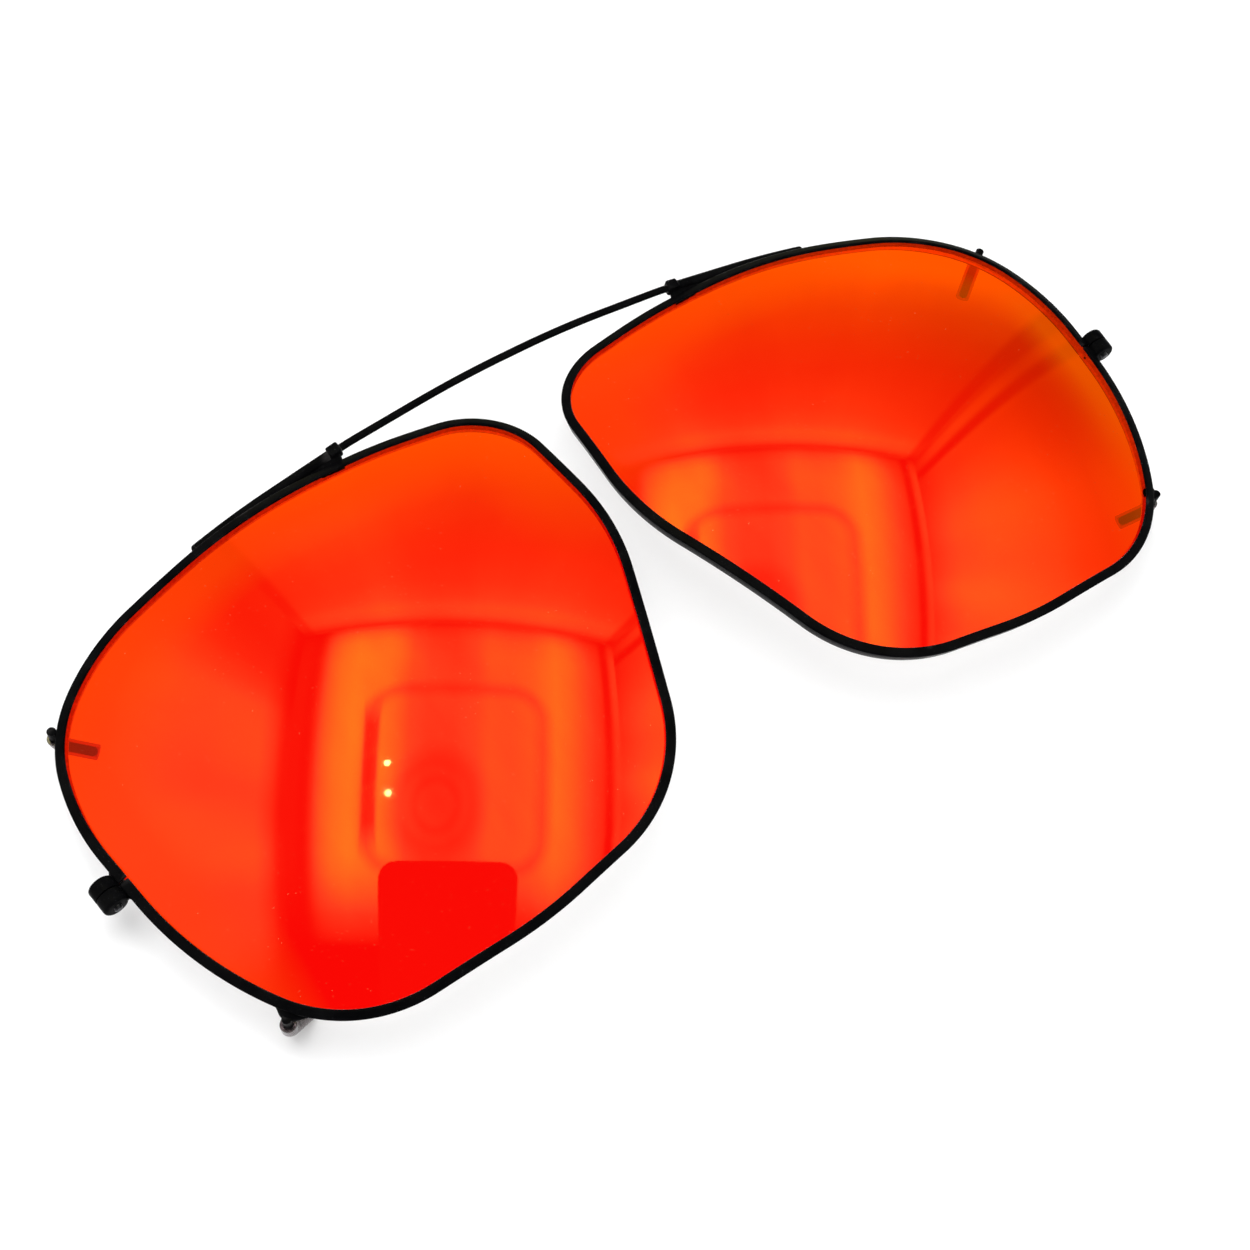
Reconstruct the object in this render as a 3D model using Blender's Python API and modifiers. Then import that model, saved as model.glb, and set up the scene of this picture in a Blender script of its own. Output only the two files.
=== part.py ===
"""Clip-on sunglasses with a sprung wire bridge.

Two wire-rimmed mirrored lenses hang on one round bridge wire. Each end of the
wire slides in a thin tube over the brow of its rim, against a hidden spring, so
the lenses can be pulled apart and the four sleeved prongs on the temple side
can grip a pair of spectacles.

Frame: X across the face, Y up the face, Z out of the front of the lenses. The
clip-on lies on its four prong sleeves; the origin is on the mirror plane, in
the plane the sleeves rest on, at mid height of the outline. "left" and "right"
are as seen from the front: right is +X. The right unit is built piece by piece
and the left unit is its mirror image.
"""

import math
from types import SimpleNamespace

import bmesh
import bpy
from mathutils import Matrix, Vector

MM = 0.001

# ---------------------------------------------------------------- dimensions, mm
# Lens shape, seen along the lens axis: corners of the polygon (u, v) and the
# radius that rounds each of them. +u is the temple side, +v the brow.
LENS_CORNERS = (
    (29.5, 6.2, 26.0),     # temple, upper
    (27.5, 15.5, 19.0),    # temple shoulder
    (20.0, 21.3, 25.0),    # brow, outer
    (1.8, 25.6, 76.0),     # brow, middle
    (-13.2, 25.7, 70.0),   # brow, inner
    (-27.7, 24.5, 19.0),   # nose corner
    (-29.5, 5.1, 26.0),    # nose bend
    (-19.6, -22.4, 19.0),  # lower nose corner
    (-1.8, -25.7, 41.0),   # bottom
    (17.6, -25.3, 19.0),   # lower temple corner
    (26.6, -11.7, 38.0),   # temple, lower
)
CORNER_STEP = 1.5          # largest step round a corner, degrees
NORMAL_REACH = 0.6         # each way along the outline, to find its direction
BASE_CURVE_RADIUS = 85.5   # front sphere of the lens, about a 6 base
LENS_APEX_V = -0.8         # height of the sphere's axis in the lens shape
FACE_WRAP = 4.8            # degrees each lens turns back towards the temple
LENS_CENTRE_X = 30.6       # half the distance between the lens centres, closed
DATUM_Y = -0.767           # moves mid height of the outline to Y = 0
DATUM_Z = 13.30            # lens apex plane above the resting plane

RIM_WIDTH = 1.0            # across the front face of the eyewire
RIM_DEPTH = 1.75           # front to back
RIM_WALL = 0.32            # wall of the U-shaped eyewire
RIM_CHAMFER = 0.16         # broken outer corners
RIM_STATIONS = 84          # round the rim, and round the lens edge
RIM_SPLIT = 0.30           # gap where the eyewire is cut for glazing
SPLIT_V = -1.4             # height of the cut on the temple side
RIM_PROFILE = (            # (inset, depth) round the outside, front to back lip
    (RIM_WIDTH, 0.0),
    (RIM_CHAMFER, 0.0),
    (0.0, RIM_CHAMFER),
    (0.0, RIM_DEPTH - RIM_CHAMFER),
    (RIM_CHAMFER, RIM_DEPTH),
    (RIM_WIDTH, RIM_DEPTH),
)

LENS_INSET = 0.55          # lens edge inside the rim's outline
LENS_FRONT_DEPTH = 0.40
LENS_THICKNESS = 0.95
LENS_RINGS = (0.3, 0.6, 0.82, 1.0)   # mesh rings, as shares of the lens edge

WIRE_RADIUS = 0.40
BOW_RADIUS = 71.5          # central bow of the bridge wire, in the XZ plane
BOW_HALF = 11.5            # half length of the bow along X
BOW_STEPS = 7              # in each half of the bow
BOW_Y = 26.40              # height of the wire at the middle
BOW_Z = -1.08              # front of the bow against the lens apex plane
KNEE_X, KNEE_Y = 19.0, 26.55        # the straight legs start here
LEG_DROP, LEG_BACK = 0.060, 0.160   # fall in Y and Z per mm outwards
WIRE_END_X = 27.5          # the wire ends here inside the tube, closed
WIRE_TAPER = 0.1           # length of the tapered end, along X
WIRE_END_SCALE = 0.75      # radius at the very end, against the full radius

TUBE_RADIUS = 0.525
TUBE_WALL = 0.07
TUBE_START_X = 21.25
TUBE_BEND_X = 28.3
TUBE_END_U = 6.8           # station of the tube's outer end on the lens shape
TUBE_STAND_OFF = 0.57      # tube centre outside the rim's outer face
TUBE_DEPTH = 0.45 * RIM_DEPTH       # tube's outer end behind the rim's front
TUBE_END_REACH = 1.0       # along the outline, to find the end's direction
TUBE_BEND_STEPS = 7
PLUG_SHANK = 0.9
PLUG_PROFILE = (           # (radius, height) from the tube's end
    (0, 0.45), (0.24, 0.39), (0.44, 0.23), (TUBE_RADIUS, 0.05),
    (0.38, 0.05), (0.38, -PLUG_SHANK), (0, -PLUG_SHANK),
)

SPRING_WIRE = 0.06         # radius of the spring's wire
SPRING_RADIUS = 0.33       # mean radius of the coil
SPRING_PITCH = 0.32
SPRING_STEPS = 8           # points in each turn
SPRING_CLEARANCE = 0.1     # to the bridge wire and to the plug

COLLAR_X = 20.55           # middle of the guide collar along X
COLLAR_LENGTH = 1.35
COLLAR_ABOVE, COLLAR_BELOW = 0.62, 0.57   # from the wire's centre, in Y
COLLAR_DEPTH = 1.35
COLLAR_BORE = 0.46
COLLAR_ROUNDING = 0.14
COLLAR_CUTTER_LENGTH = 3.0

BLOCK_RADIUS = 1.25        # barrel of the closing block
BLOCK_HALF = 1.40          # length of each half
BLOCK_GAP = 0.12           # between the halves
BLOCK_TOP = BLOCK_GAP / 2 + BLOCK_HALF   # outer end of a half from the middle
BLOCK_OUT = 1.32           # barrel's axis outside the rim
BLOCK_FORWARD = 0.85       # barrel's axis in front of the rim's middle
BLOCK_ROUNDING = 0.32      # rounded edge of each outer end
BLOCK_REACH = 0.5          # each way along and across the rim, to find directions
WEB_BACK, WEB_FRONT = -0.50, 0.78   # depth of the web, from the rim's middle
WEB_START = 0.06           # web starts this far outside the rim
WEB_INSET = 0.01           # web inside the barrel's flat end faces
BORE_OVERRUN = 1.0         # bore cutter longer than its half
SCREW_SHANK = 0.42
SCREW_BORE = 0.50
SCREW_HEAD = 0.78
SCREW_HEAD_HEIGHT = 0.45
SCREW_HEAD_SUNK = 0.02     # top of the head below the block's end
SCREW_HEAD_CLEARANCE = 0.09   # round the head
SCREW_SEAT_CLEARANCE = 0.05   # under the head
SCREW_TIP = 0.30           # stands out of the lower half
SCREW_CHAMFER, SCREW_CHAMFER_HEIGHT = 0.14, 0.12
SLOT_SIZE = (0.2, 3.0, 0.4)   # slot cutter, centred on the block's top

PRONG_RADIUS = 0.45
PRONG_TOP = ((0, 0.45), (0.12, 0.85), (0.32, 1.0))   # (distance down, radius scale)
PRONG_BEND_STEPS = 5
# top: (x, y) of the straight leg; top_z: its upper end against the lens apex
# plane; tip: (x, y) of the hook's end; slope: how steeply the hook falls,
# degrees; bend: radius between leg and hook; sleeve_z: where the sleeve starts
UPPER_PRONG = {"top": (56.90, 15.67), "top_z": -8.0, "tip": (54.25, 13.77),
               "slope": 22.0, "bend": 2.0, "sleeve_z": -9.7}
LOWER_PRONG = {"top": (51.78, -19.88), "top_z": -6.9, "tip": (49.88, -19.02),
               "slope": 43.0, "bend": 1.0, "sleeve_z": -8.9}
SLEEVE_FLAT = 0.78         # middle of the sleeve to each of its flats
SLEEVE_BORE = 0.50
SLEEVE_SIDES = 12
SLEEVE_PAST_TIP = 0.30

MERGE_DISTANCE = 1e-7      # metres, joins coincident vertices

# ---------------------------------------------------------------- scene
for old in list(bpy.data.objects):
    bpy.data.objects.remove(old, do_unlink=True)

parts = bpy.data.collections.new("clip_on_sunglasses")
tools = bpy.data.collections.new("cutters")
for collection in (parts, tools):
    bpy.context.scene.collection.children.link(collection)


# ---------------------------------------------------------------- materials
def material(name, colour, roughness, metallic=0.0, transmission=0.0, alpha=1.0, coat=0.0):
    mat = bpy.data.materials.new(name)
    mat.use_nodes = True
    inputs = mat.node_tree.nodes["Principled BSDF"].inputs
    inputs["Base Color"].default_value = (*colour, 1.0)
    inputs["Roughness"].default_value = roughness
    inputs["Metallic"].default_value = metallic
    inputs["Transmission Weight"].default_value = transmission
    inputs["Alpha"].default_value = alpha
    inputs["Coat Weight"].default_value = coat
    return mat


def black_paint(piece, roughness=0.32):
    return material(piece + "_paint", colour=(0.012, 0.012, 0.013),
                    roughness=roughness, metallic=0.2, coat=0.4)


def lens_mirror(piece):
    return material(piece + "_mirror", colour=(1.0, 0.16, 0.02), roughness=0.05,
                    metallic=0.6, transmission=0.3, alpha=0.8, coat=1.0)


def screw_steel(piece):
    return material(piece + "_steel", colour=(0.03, 0.03, 0.032),
                    roughness=0.35, metallic=0.9)


def spring_steel(piece):
    return material(piece + "_steel", colour=(0.55, 0.55, 0.56),
                    roughness=0.3, metallic=1.0)


def sleeve_pvc(piece):
    return material(piece + "_pvc", colour=(0.85, 0.80, 0.78), roughness=0.15,
                    transmission=0.9, alpha=0.5)


# ---------------------------------------------------------------- lens shape
def rounded_polygon(corners):
    """The polygon with each corner replaced by its tangent arc."""
    points = []
    count = len(corners)
    for i, (u, v, radius) in enumerate(corners):
        corner = Vector((u, v))
        before = Vector(corners[i - 1][:2]) - corner
        after = Vector(corners[(i + 1) % count][:2]) - corner
        before_length, after_length = before.length, after.length
        before.normalize()
        after.normalize()
        half = before.angle(after) / 2
        # the arc may use up just under half of each side
        tangent = min(radius / math.tan(half), 0.495 * before_length, 0.495 * after_length)
        radius = tangent * math.tan(half)
        centre = corner + (before + after).normalized() * (radius / math.sin(half))
        start = corner + before * tangent - centre
        end = corner + after * tangent - centre
        first = math.atan2(start.y, start.x)
        last = math.atan2(end.y, end.x)
        turn = (last - first + math.pi) % (2 * math.pi) - math.pi
        steps = max(2, math.ceil(abs(turn) / math.radians(CORNER_STEP)))
        for j in range(steps + 1):
            angle = first + turn * j / steps
            points.append(centre + radius * Vector((math.cos(angle), math.sin(angle))))
    return points


def outline_table():
    """Closed outline from the split, over the brow to the nose, and its running length."""
    outline = rounded_polygon(LENS_CORNERS)
    count = len(outline)
    for i in range(count):
        a, b = outline[i], outline[(i + 1) % count]
        if a.x > 0 and a.y < SPLIT_V <= b.y:
            split = a.lerp(b, (SPLIT_V - a.y) / (b.y - a.y))
            ring = [split] + [outline[(i + 1 + k) % count] for k in range(count)] + [split]
            break
    length = [0.0]
    for a, b in zip(ring, ring[1:]):
        length.append(length[-1] + (b - a).length)
    return ring, length


RING, LENGTH = outline_table()
TOTAL = LENGTH[-1]


def outline_point(station):
    """Point (u, v) at a distance round the outline."""
    station %= TOTAL
    low, high = 0, len(LENGTH) - 1
    while high - low > 1:
        middle = (low + high) // 2
        if LENGTH[middle] <= station:
            low = middle
        else:
            high = middle
    part = (station - LENGTH[low]) / max(LENGTH[high] - LENGTH[low], 1e-9)
    return RING[low].lerp(RING[high], part)


def inset_point(station, inset):
    """Point (u, v) moved square to the outline; a positive inset moves it inwards."""
    chord = outline_point(station + NORMAL_REACH) - outline_point(station - NORMAL_REACH)
    tangent = chord.normalized()
    return outline_point(station) - Vector((tangent.y, -tangent.x)) * inset


def brow_station(u):
    """Distance round the outline of the brow point nearest to u."""
    brow = (i for i in range(len(RING)) if RING[i].y > 0)
    return LENGTH[min(brow, key=lambda i: abs(RING[i].x - u))]


def design_point(x, y, z):
    """Millimetres, with z from the lens apex plane, to metres in the part's frame."""
    return Vector((x, y + DATUM_Y, z + DATUM_Z)) * MM


def face_point(u, v, depth):
    """A point depth behind the front sphere of the right lens, in metres."""
    w = v - LENS_APEX_V
    z = math.sqrt(BASE_CURVE_RADIUS ** 2 - u * u - w * w)
    scale = 1.0 - depth / BASE_CURVE_RADIUS
    x, y, z = u * scale, w * scale + LENS_APEX_V, z * scale - BASE_CURVE_RADIUS
    cos, sin = math.cos(math.radians(FACE_WRAP)), math.sin(math.radians(FACE_WRAP))
    return design_point(x * cos + z * sin + LENS_CENTRE_X, y, -x * sin + z * cos)


def rim_point(station, inset, depth):
    return face_point(*inset_point(station, inset), depth)


# ---------------------------------------------------------------- helpers
def place(name, data, matrix, unit=None):
    """An object at the world matrix, parented to a lens unit if one is given."""
    obj = bpy.data.objects.new(name, data)
    parts.objects.link(obj)
    if unit:
        obj.parent = unit
        matrix = Matrix.Translation(-unit.location) @ matrix
    obj.matrix_basis = matrix
    return obj


def add(name, mesh, mat, origin, unit):
    """An object from a mesh in world coordinates, with its origin at a world point."""
    mesh.transform(Matrix.Translation(-origin))
    mesh.name = name
    mesh.materials.clear()
    mesh.materials.append(mat)
    return place(name, mesh, Matrix.Translation(origin), unit)


def mesh_from(name, verts, faces, edges=()):
    mesh = bpy.data.meshes.new(name)
    mesh.from_pydata([tuple(v) for v in verts], edges, faces)
    return mesh


def mesh_from_bmesh(name, bm):
    mesh = bpy.data.meshes.new(name)
    bm.to_mesh(mesh)
    bm.free()
    return mesh


def smooth(mesh, angle):
    mesh.shade_smooth()
    mesh.set_sharp_from_angle(angle=math.radians(angle))


def evaluated_mesh(obj):
    """The object's finished mesh in world coordinates."""
    bpy.context.view_layer.update()
    graph = bpy.context.evaluated_depsgraph_get()
    mesh = bpy.data.meshes.new_from_object(obj.evaluated_get(graph), depsgraph=graph)
    mesh.transform(obj.matrix_world)
    bm = bmesh.new()
    bm.from_mesh(mesh)
    bmesh.ops.remove_doubles(bm, verts=bm.verts, dist=MERGE_DISTANCE)
    bm.to_mesh(mesh)
    bm.free()
    return mesh


def frame(origin, x, y):
    """Matrix with its X along x, its Y as near y as it can be, at origin."""
    x = Vector(x).normalized()
    z = x.cross(Vector(y)).normalized()
    y = z.cross(x)
    return Matrix.Translation(origin) @ Matrix((x, y, z)).transposed().to_4x4()


def shift(x, y, z):
    return Matrix.Translation(Vector((x, y, z)) * MM)


def cylinder_mesh(name, radius, depth, segments):
    """Closed cylinder along Z, centred on the origin."""
    bm = bmesh.new()
    bmesh.ops.create_cone(bm, cap_ends=True, segments=segments, radius1=radius * MM,
                          radius2=radius * MM, depth=depth * MM)
    return mesh_from_bmesh(name, bm)


def box_mesh(name, size, centre):
    bm = bmesh.new()
    bmesh.ops.create_cube(bm, size=1.0, matrix=shift(*centre)
                          @ Matrix.Diagonal((*(Vector(size) * MM), 1.0)))
    return mesh_from_bmesh(name, bm)


def cut(obj, mesh, matrix, operation="DIFFERENCE"):
    """Boolean with a hidden tool object that takes the mesh's name."""
    tool = bpy.data.objects.new(mesh.name, mesh)
    tool.matrix_world = matrix
    tools.objects.link(tool)
    tool.hide_render = True
    tool.display_type = "WIRE"
    mod = obj.modifiers.new(operation.lower() + "_" + tool.name, "BOOLEAN")
    mod.operation = operation
    mod.solver = "EXACT"
    mod.object = tool
    return tool


def thicken(obj, name, thickness):
    """Solidify modifier that grows inwards or backwards from the outer skin."""
    mod = obj.modifiers.new(name, "SOLIDIFY")
    mod.thickness = thickness * MM
    mod.offset = -1.0
    mod.use_even_offset = True
    mod.use_rim = True


def turned(name, profile, steps, matrix, mat):
    """(radius, height) points, closed at radius 0, turned about the local Z of matrix."""
    verts = [(radius * MM, 0, height * MM) for radius, height in profile]
    mesh = mesh_from(name, verts, [], [(i, i + 1) for i in range(len(verts) - 1)])
    mesh.materials.append(mat)
    obj = place(name, mesh, matrix, right_unit)
    mod = obj.modifiers.new("turn", "SCREW")
    mod.axis = "Z"
    mod.angle = 2 * math.pi
    mod.steps = steps
    mod.render_steps = steps
    mod.use_merge_vertices = True
    mod.merge_threshold = MERGE_DISTANCE
    mod.use_smooth_shade = True
    return obj


def wire(name, points, radius, mat=None, unit=None, scales=None, resolution=2, caps=True):
    """Round wire: a bevelled polyline; scales are radius factors, one per point."""
    curve = bpy.data.curves.new(name, "CURVE")
    curve.dimensions = "3D"
    curve.bevel_depth = radius * MM
    curve.bevel_resolution = resolution
    curve.use_fill_caps = caps
    curve.resolution_u = 1
    origin = points[0]
    spline = curve.splines.new("POLY")
    spline.points.add(len(points) - 1)
    for i, point in enumerate(points):
        spline.points[i].co = (*(point - origin), 1)
        spline.points[i].radius = scales[i] if scales else 1.0
    spline.use_smooth = True
    if mat:
        curve.materials.append(mat)
    return place(name, curve, Matrix.Translation(origin), unit)


def flip(point):
    return Vector((-point.x, point.y, point.z))


# ---------------------------------------------------------------- lens units
LEG = Vector((1.0, -LEG_DROP, -LEG_BACK)).normalized()
BOW_SAG = BOW_RADIUS - math.sqrt(BOW_RADIUS ** 2 - BOW_HALF ** 2)
KNEE_Z = BOW_Z - BOW_SAG - (KNEE_X - BOW_HALF) * LEG_BACK


def leg_point(x):
    """Point on the centre line of the wire's right leg, or on its extension."""
    past = x - KNEE_X
    return design_point(x, KNEE_Y - past * LEG_DROP, KNEE_Z - past * LEG_BACK)


def make_unit(name, location, side):
    """Empty that carries one lens and slides along its leg of the bridge wire."""
    unit = bpy.data.objects.new(name, None)
    unit.empty_display_size = 3 * MM
    unit.location = location
    unit["slides_along"] = (side * LEG.x, LEG.y, LEG.z)
    parts.objects.link(unit)
    return unit


collar_inner_end = leg_point(COLLAR_X - COLLAR_LENGTH / 2)
right_unit = make_unit("right_lens_unit", collar_inner_end, 1)
left_unit = make_unit("left_lens_unit", flip(collar_inner_end), -1)


# ---------------------------------------------------------------- bridge wire
def make_bridge():
    bow = []
    for i in range(BOW_STEPS + 1):
        x = BOW_HALF * i / BOW_STEPS
        y = BOW_Y + (KNEE_Y - BOW_Y) * x / KNEE_X
        z = BOW_Z - BOW_RADIUS + math.sqrt(BOW_RADIUS ** 2 - x * x)
        bow.append(design_point(x, y, z))
    leg = [leg_point(x) for x in (KNEE_X, WIRE_END_X - WIRE_TAPER, WIRE_END_X)]
    half = bow[1:] + leg
    points = [flip(p) for p in reversed(half)] + [bow[0]] + half
    scales = [WIRE_END_SCALE] + [1.0] * (len(points) - 2) + [WIRE_END_SCALE]
    wire("bridge_wire", points, WIRE_RADIUS, black_paint("bridge_wire", 0.28), scales=scales)


make_bridge()


# ---------------------------------------------------------------- rim and lens
def make_rim():
    """Open strip round the lens shape, folded to a U and thickened inwards."""
    name = "right_rim"
    verts, faces = [], []
    width = len(RIM_PROFILE)
    for i in range(RIM_STATIONS + 1):
        station = RIM_SPLIT / 2 + (TOTAL - RIM_SPLIT) * i / RIM_STATIONS
        verts += [rim_point(station, inset, depth) for inset, depth in RIM_PROFILE]
    for i in range(RIM_STATIONS):
        for j in range(width - 1):
            a = i * width + j
            faces.append((a, a + 1, a + width + 1, a + width))
    obj = add(name, mesh_from(name, verts, faces), black_paint(name, 0.30),
              face_point(0, 0, RIM_DEPTH / 2), right_unit)
    thicken(obj, "wall", RIM_WALL)
    smooth(obj.data, 25)
    return obj


def make_lens():
    """Open dome that follows the lens shape, thickened backwards."""
    name = "right_lens"
    count = RIM_STATIONS
    edge = [inset_point(TOTAL * i / count, LENS_INSET) for i in range(count)]
    apex = face_point(0, 0, LENS_FRONT_DEPTH)
    verts = [apex]
    for scale in LENS_RINGS:
        verts += [face_point(p.x * scale, p.y * scale, LENS_FRONT_DEPTH) for p in edge]
    faces = [(0, 1 + i, 1 + (i + 1) % count) for i in range(count)]
    for k in range(len(LENS_RINGS) - 1):
        inner = 1 + k * count
        outer = inner + count
        for i in range(count):
            j = (i + 1) % count
            faces.append((inner + i, outer + i, outer + j, inner + j))
    obj = add(name, mesh_from(name, verts, faces), lens_mirror(name), apex, right_unit)
    thicken(obj, "thickness", LENS_THICKNESS)
    smooth(obj.data, 40)
    return obj


# ---------------------------------------------------------------- closing block
def block_frame():
    """Frame on the cut in the rim: X out of the rim, Y up along it, Z forward."""
    depth = RIM_DEPTH / 2
    along = rim_point(BLOCK_REACH, 0.0, depth) - rim_point(-BLOCK_REACH, 0.0, depth)
    out = rim_point(0.0, -BLOCK_REACH, depth) - rim_point(0.0, BLOCK_REACH, depth)
    return frame(rim_point(0.0, 0.0, depth), out, along)


BLOCK = block_frame()
# the barrel's Z runs up along the rim
BARREL = BLOCK @ shift(BLOCK_OUT, 0, BLOCK_FORWARD) @ Matrix.Rotation(-math.pi / 2, 4, "X")


def make_block(name, side):
    """Half of a split barrel on a web: side is 1 above the cut, -1 below it."""
    middle = side * (BLOCK_GAP / 2 + BLOCK_HALF / 2)
    centre = BARREL @ shift(0, 0, middle)
    body = place(name, cylinder_mesh(name, BLOCK_RADIUS, BLOCK_HALF, 24), centre)
    bm = bmesh.new()
    bm.from_mesh(body.data)
    end_edges = [e for e in bm.edges if all(v.co.z * side > 0 for v in e.verts)]
    bmesh.ops.bevel(bm, geom=end_edges, offset=BLOCK_ROUNDING * MM, segments=3,
                    profile=0.5, affect="EDGES")
    bm.to_mesh(body.data)
    bm.free()

    # the web stops short of the rounded end
    web_size = (BLOCK_OUT - WEB_START, BLOCK_HALF - BLOCK_ROUNDING - 2 * WEB_INSET,
                WEB_FRONT - WEB_BACK)
    web_centre = ((BLOCK_OUT + WEB_START) / 2, middle - side * BLOCK_ROUNDING / 2,
                  (WEB_FRONT + WEB_BACK) / 2)
    web = box_mesh(name + "_web", web_size, web_centre)
    bore = cylinder_mesh(name + "_bore", SCREW_BORE, BLOCK_HALF + BORE_OVERRUN, 16)
    used = [cut(body, web, BLOCK, "UNION"), cut(body, bore, centre)]
    if side > 0:
        seat = cylinder_mesh(name + "_seat", SCREW_HEAD + SCREW_HEAD_CLEARANCE,
                             2 * SCREW_HEAD_HEIGHT, 16)
        used.append(cut(body, seat, BARREL @ shift(0, 0, BLOCK_TOP)))
    mesh = evaluated_mesh(body)
    for obj in [body] + used:
        bpy.data.objects.remove(obj, do_unlink=True)
    obj = add(name, mesh, black_paint(name), BARREL.translation, right_unit)
    smooth(mesh, 30)
    return obj


def make_screw():
    """Slotted cheese-head screw through both halves of the block."""
    name = "right_closing_screw"
    top = BLOCK_TOP - SCREW_HEAD_SUNK
    seat = BLOCK_TOP - SCREW_HEAD_HEIGHT + SCREW_SEAT_CLEARANCE
    end = -(BLOCK_TOP + SCREW_TIP)
    profile = [
        (0, top),
        (SCREW_HEAD - SCREW_CHAMFER, top),
        (SCREW_HEAD, top - SCREW_CHAMFER_HEIGHT),
        (SCREW_HEAD, seat),
        (SCREW_SHANK, seat),
        (SCREW_SHANK, end + SCREW_CHAMFER_HEIGHT),
        (SCREW_SHANK - SCREW_CHAMFER, end),
        (0, end),
    ]
    obj = turned(name, profile, 16, BARREL, screw_steel(name))
    cut(obj, box_mesh(name + "_slot", SLOT_SIZE, (0, 0, BLOCK_TOP)), BARREL)
    return obj


# ---------------------------------------------------------------- guide collar
def make_collar():
    """Rounded box on the brow, bored for the bridge wire."""
    name = "right_bridge_collar"
    matrix = frame(leg_point(COLLAR_X), LEG, (0, 1, 0))
    mesh = box_mesh(name, (COLLAR_LENGTH, COLLAR_ABOVE + COLLAR_BELOW, COLLAR_DEPTH),
                    (0, (COLLAR_ABOVE - COLLAR_BELOW) / 2, 0))
    mesh.materials.append(black_paint(name))
    obj = place(name, mesh, matrix, right_unit)
    bevel = obj.modifiers.new("corners", "BEVEL")
    bevel.width = COLLAR_ROUNDING * MM
    bevel.segments = 2
    bore = cylinder_mesh("right_collar_bore", COLLAR_BORE, COLLAR_CUTTER_LENGTH, 16)
    cut(obj, bore, matrix @ Matrix.Rotation(math.pi / 2, 4, "Y"))
    return obj


# ---------------------------------------------------------------- tube, plug, spring
def tube_path():
    """Straight along the wire's leg, then bent down along the brow of the rim.

    Also returns the direction in which the tube's outer end points.
    """
    start = leg_point(TUBE_BEND_X)
    station = brow_station(TUBE_END_U)
    end = rim_point(station, -TUBE_STAND_OFF, TUBE_DEPTH)
    # stations grow from the temple over the brow to the nose
    noseward = rim_point(station + TUBE_END_REACH, -TUBE_STAND_OFF, TUBE_DEPTH)
    out = (end - noseward).normalized()
    reach = (end - start).length / 3
    handle_a, handle_b = start + LEG * reach, end - out * reach
    points = [leg_point(TUBE_START_X)]
    for i in range(TUBE_BEND_STEPS + 1):
        t = i / TUBE_BEND_STEPS
        points.append(start * (1 - t) ** 3 + handle_a * 3 * t * (1 - t) ** 2
                      + handle_b * 3 * t * t * (1 - t) + end * t ** 3)
    return points, out


TUBE_PATH, TUBE_OUT = tube_path()
TUBE_END = TUBE_PATH[-1]


def make_tube():
    """Thin-walled tube, open at both ends."""
    name = "right_spring_tube"
    solid = wire("tube_path", TUBE_PATH, TUBE_RADIUS, caps=False)
    mesh = evaluated_mesh(solid)
    bpy.data.objects.remove(solid, do_unlink=True)
    obj = add(name, mesh, black_paint(name, 0.30), TUBE_PATH[0], right_unit)
    thicken(obj, "wall", TUBE_WALL)
    smooth(mesh, 35)
    return obj


def make_plug():
    """Plug that closes the tube's outer end and holds the spring."""
    name = "right_tube_plug"
    turn = TUBE_OUT.to_track_quat("Z", "Y").to_matrix().to_4x4()
    return turned(name, PLUG_PROFILE, 14, Matrix.Translation(TUBE_END) @ turn,
                  black_paint(name))


def spring_points():
    """Helix round the tube's centre line, from the wire's end to the plug."""
    line = [leg_point(WIRE_END_X + SPRING_CLEARANCE)] + TUBE_PATH[1:-1]
    line.append(TUBE_END - TUBE_OUT * (PLUG_SHANK + SPRING_CLEARANCE) * MM)
    # a tube point beyond the spring's end would fold the line back
    if (line[-2] - TUBE_END).length < (line[-1] - TUBE_END).length:
        line.pop(-2)
    pieces = [b - a for a, b in zip(line, line[1:])]
    ways = [piece.normalized() for piece in pieces]
    dist = [0.0]
    for piece in pieces:
        dist.append(dist[-1] + piece.length / MM)
    run = dist[-1] - 2 * SPRING_WIRE
    turns = run / SPRING_PITCH
    count = int(turns * SPRING_STEPS)
    points = []
    for i in range(count + 1):
        along = SPRING_WIRE + run * i / count
        k = max(j for j in range(len(pieces)) if dist[j] <= along)
        part = (along - dist[k]) / (dist[k + 1] - dist[k])
        centre = line[k].lerp(line[k + 1], part)
        # the direction turns evenly from one piece of the line to the next
        way = ways[k]
        if part > 0.5 and k + 1 < len(ways):
            way = way.lerp(ways[k + 1], part - 0.5).normalized()
        if part < 0.5 and k > 0:
            way = way.lerp(ways[k - 1], 0.5 - part).normalized()
        y = Vector((0, 1, 0))
        y = (y - way * y.dot(way)).normalized()
        z = way.cross(y)
        angle = 2 * math.pi * turns * i / count
        points.append(centre + (y * math.cos(angle) + z * math.sin(angle)) * SPRING_RADIUS * MM)
    return points


def make_spring():
    name = "right_bridge_spring"
    return wire(name, spring_points(), SPRING_WIRE, spring_steel(name), right_unit,
                resolution=0)


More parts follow.
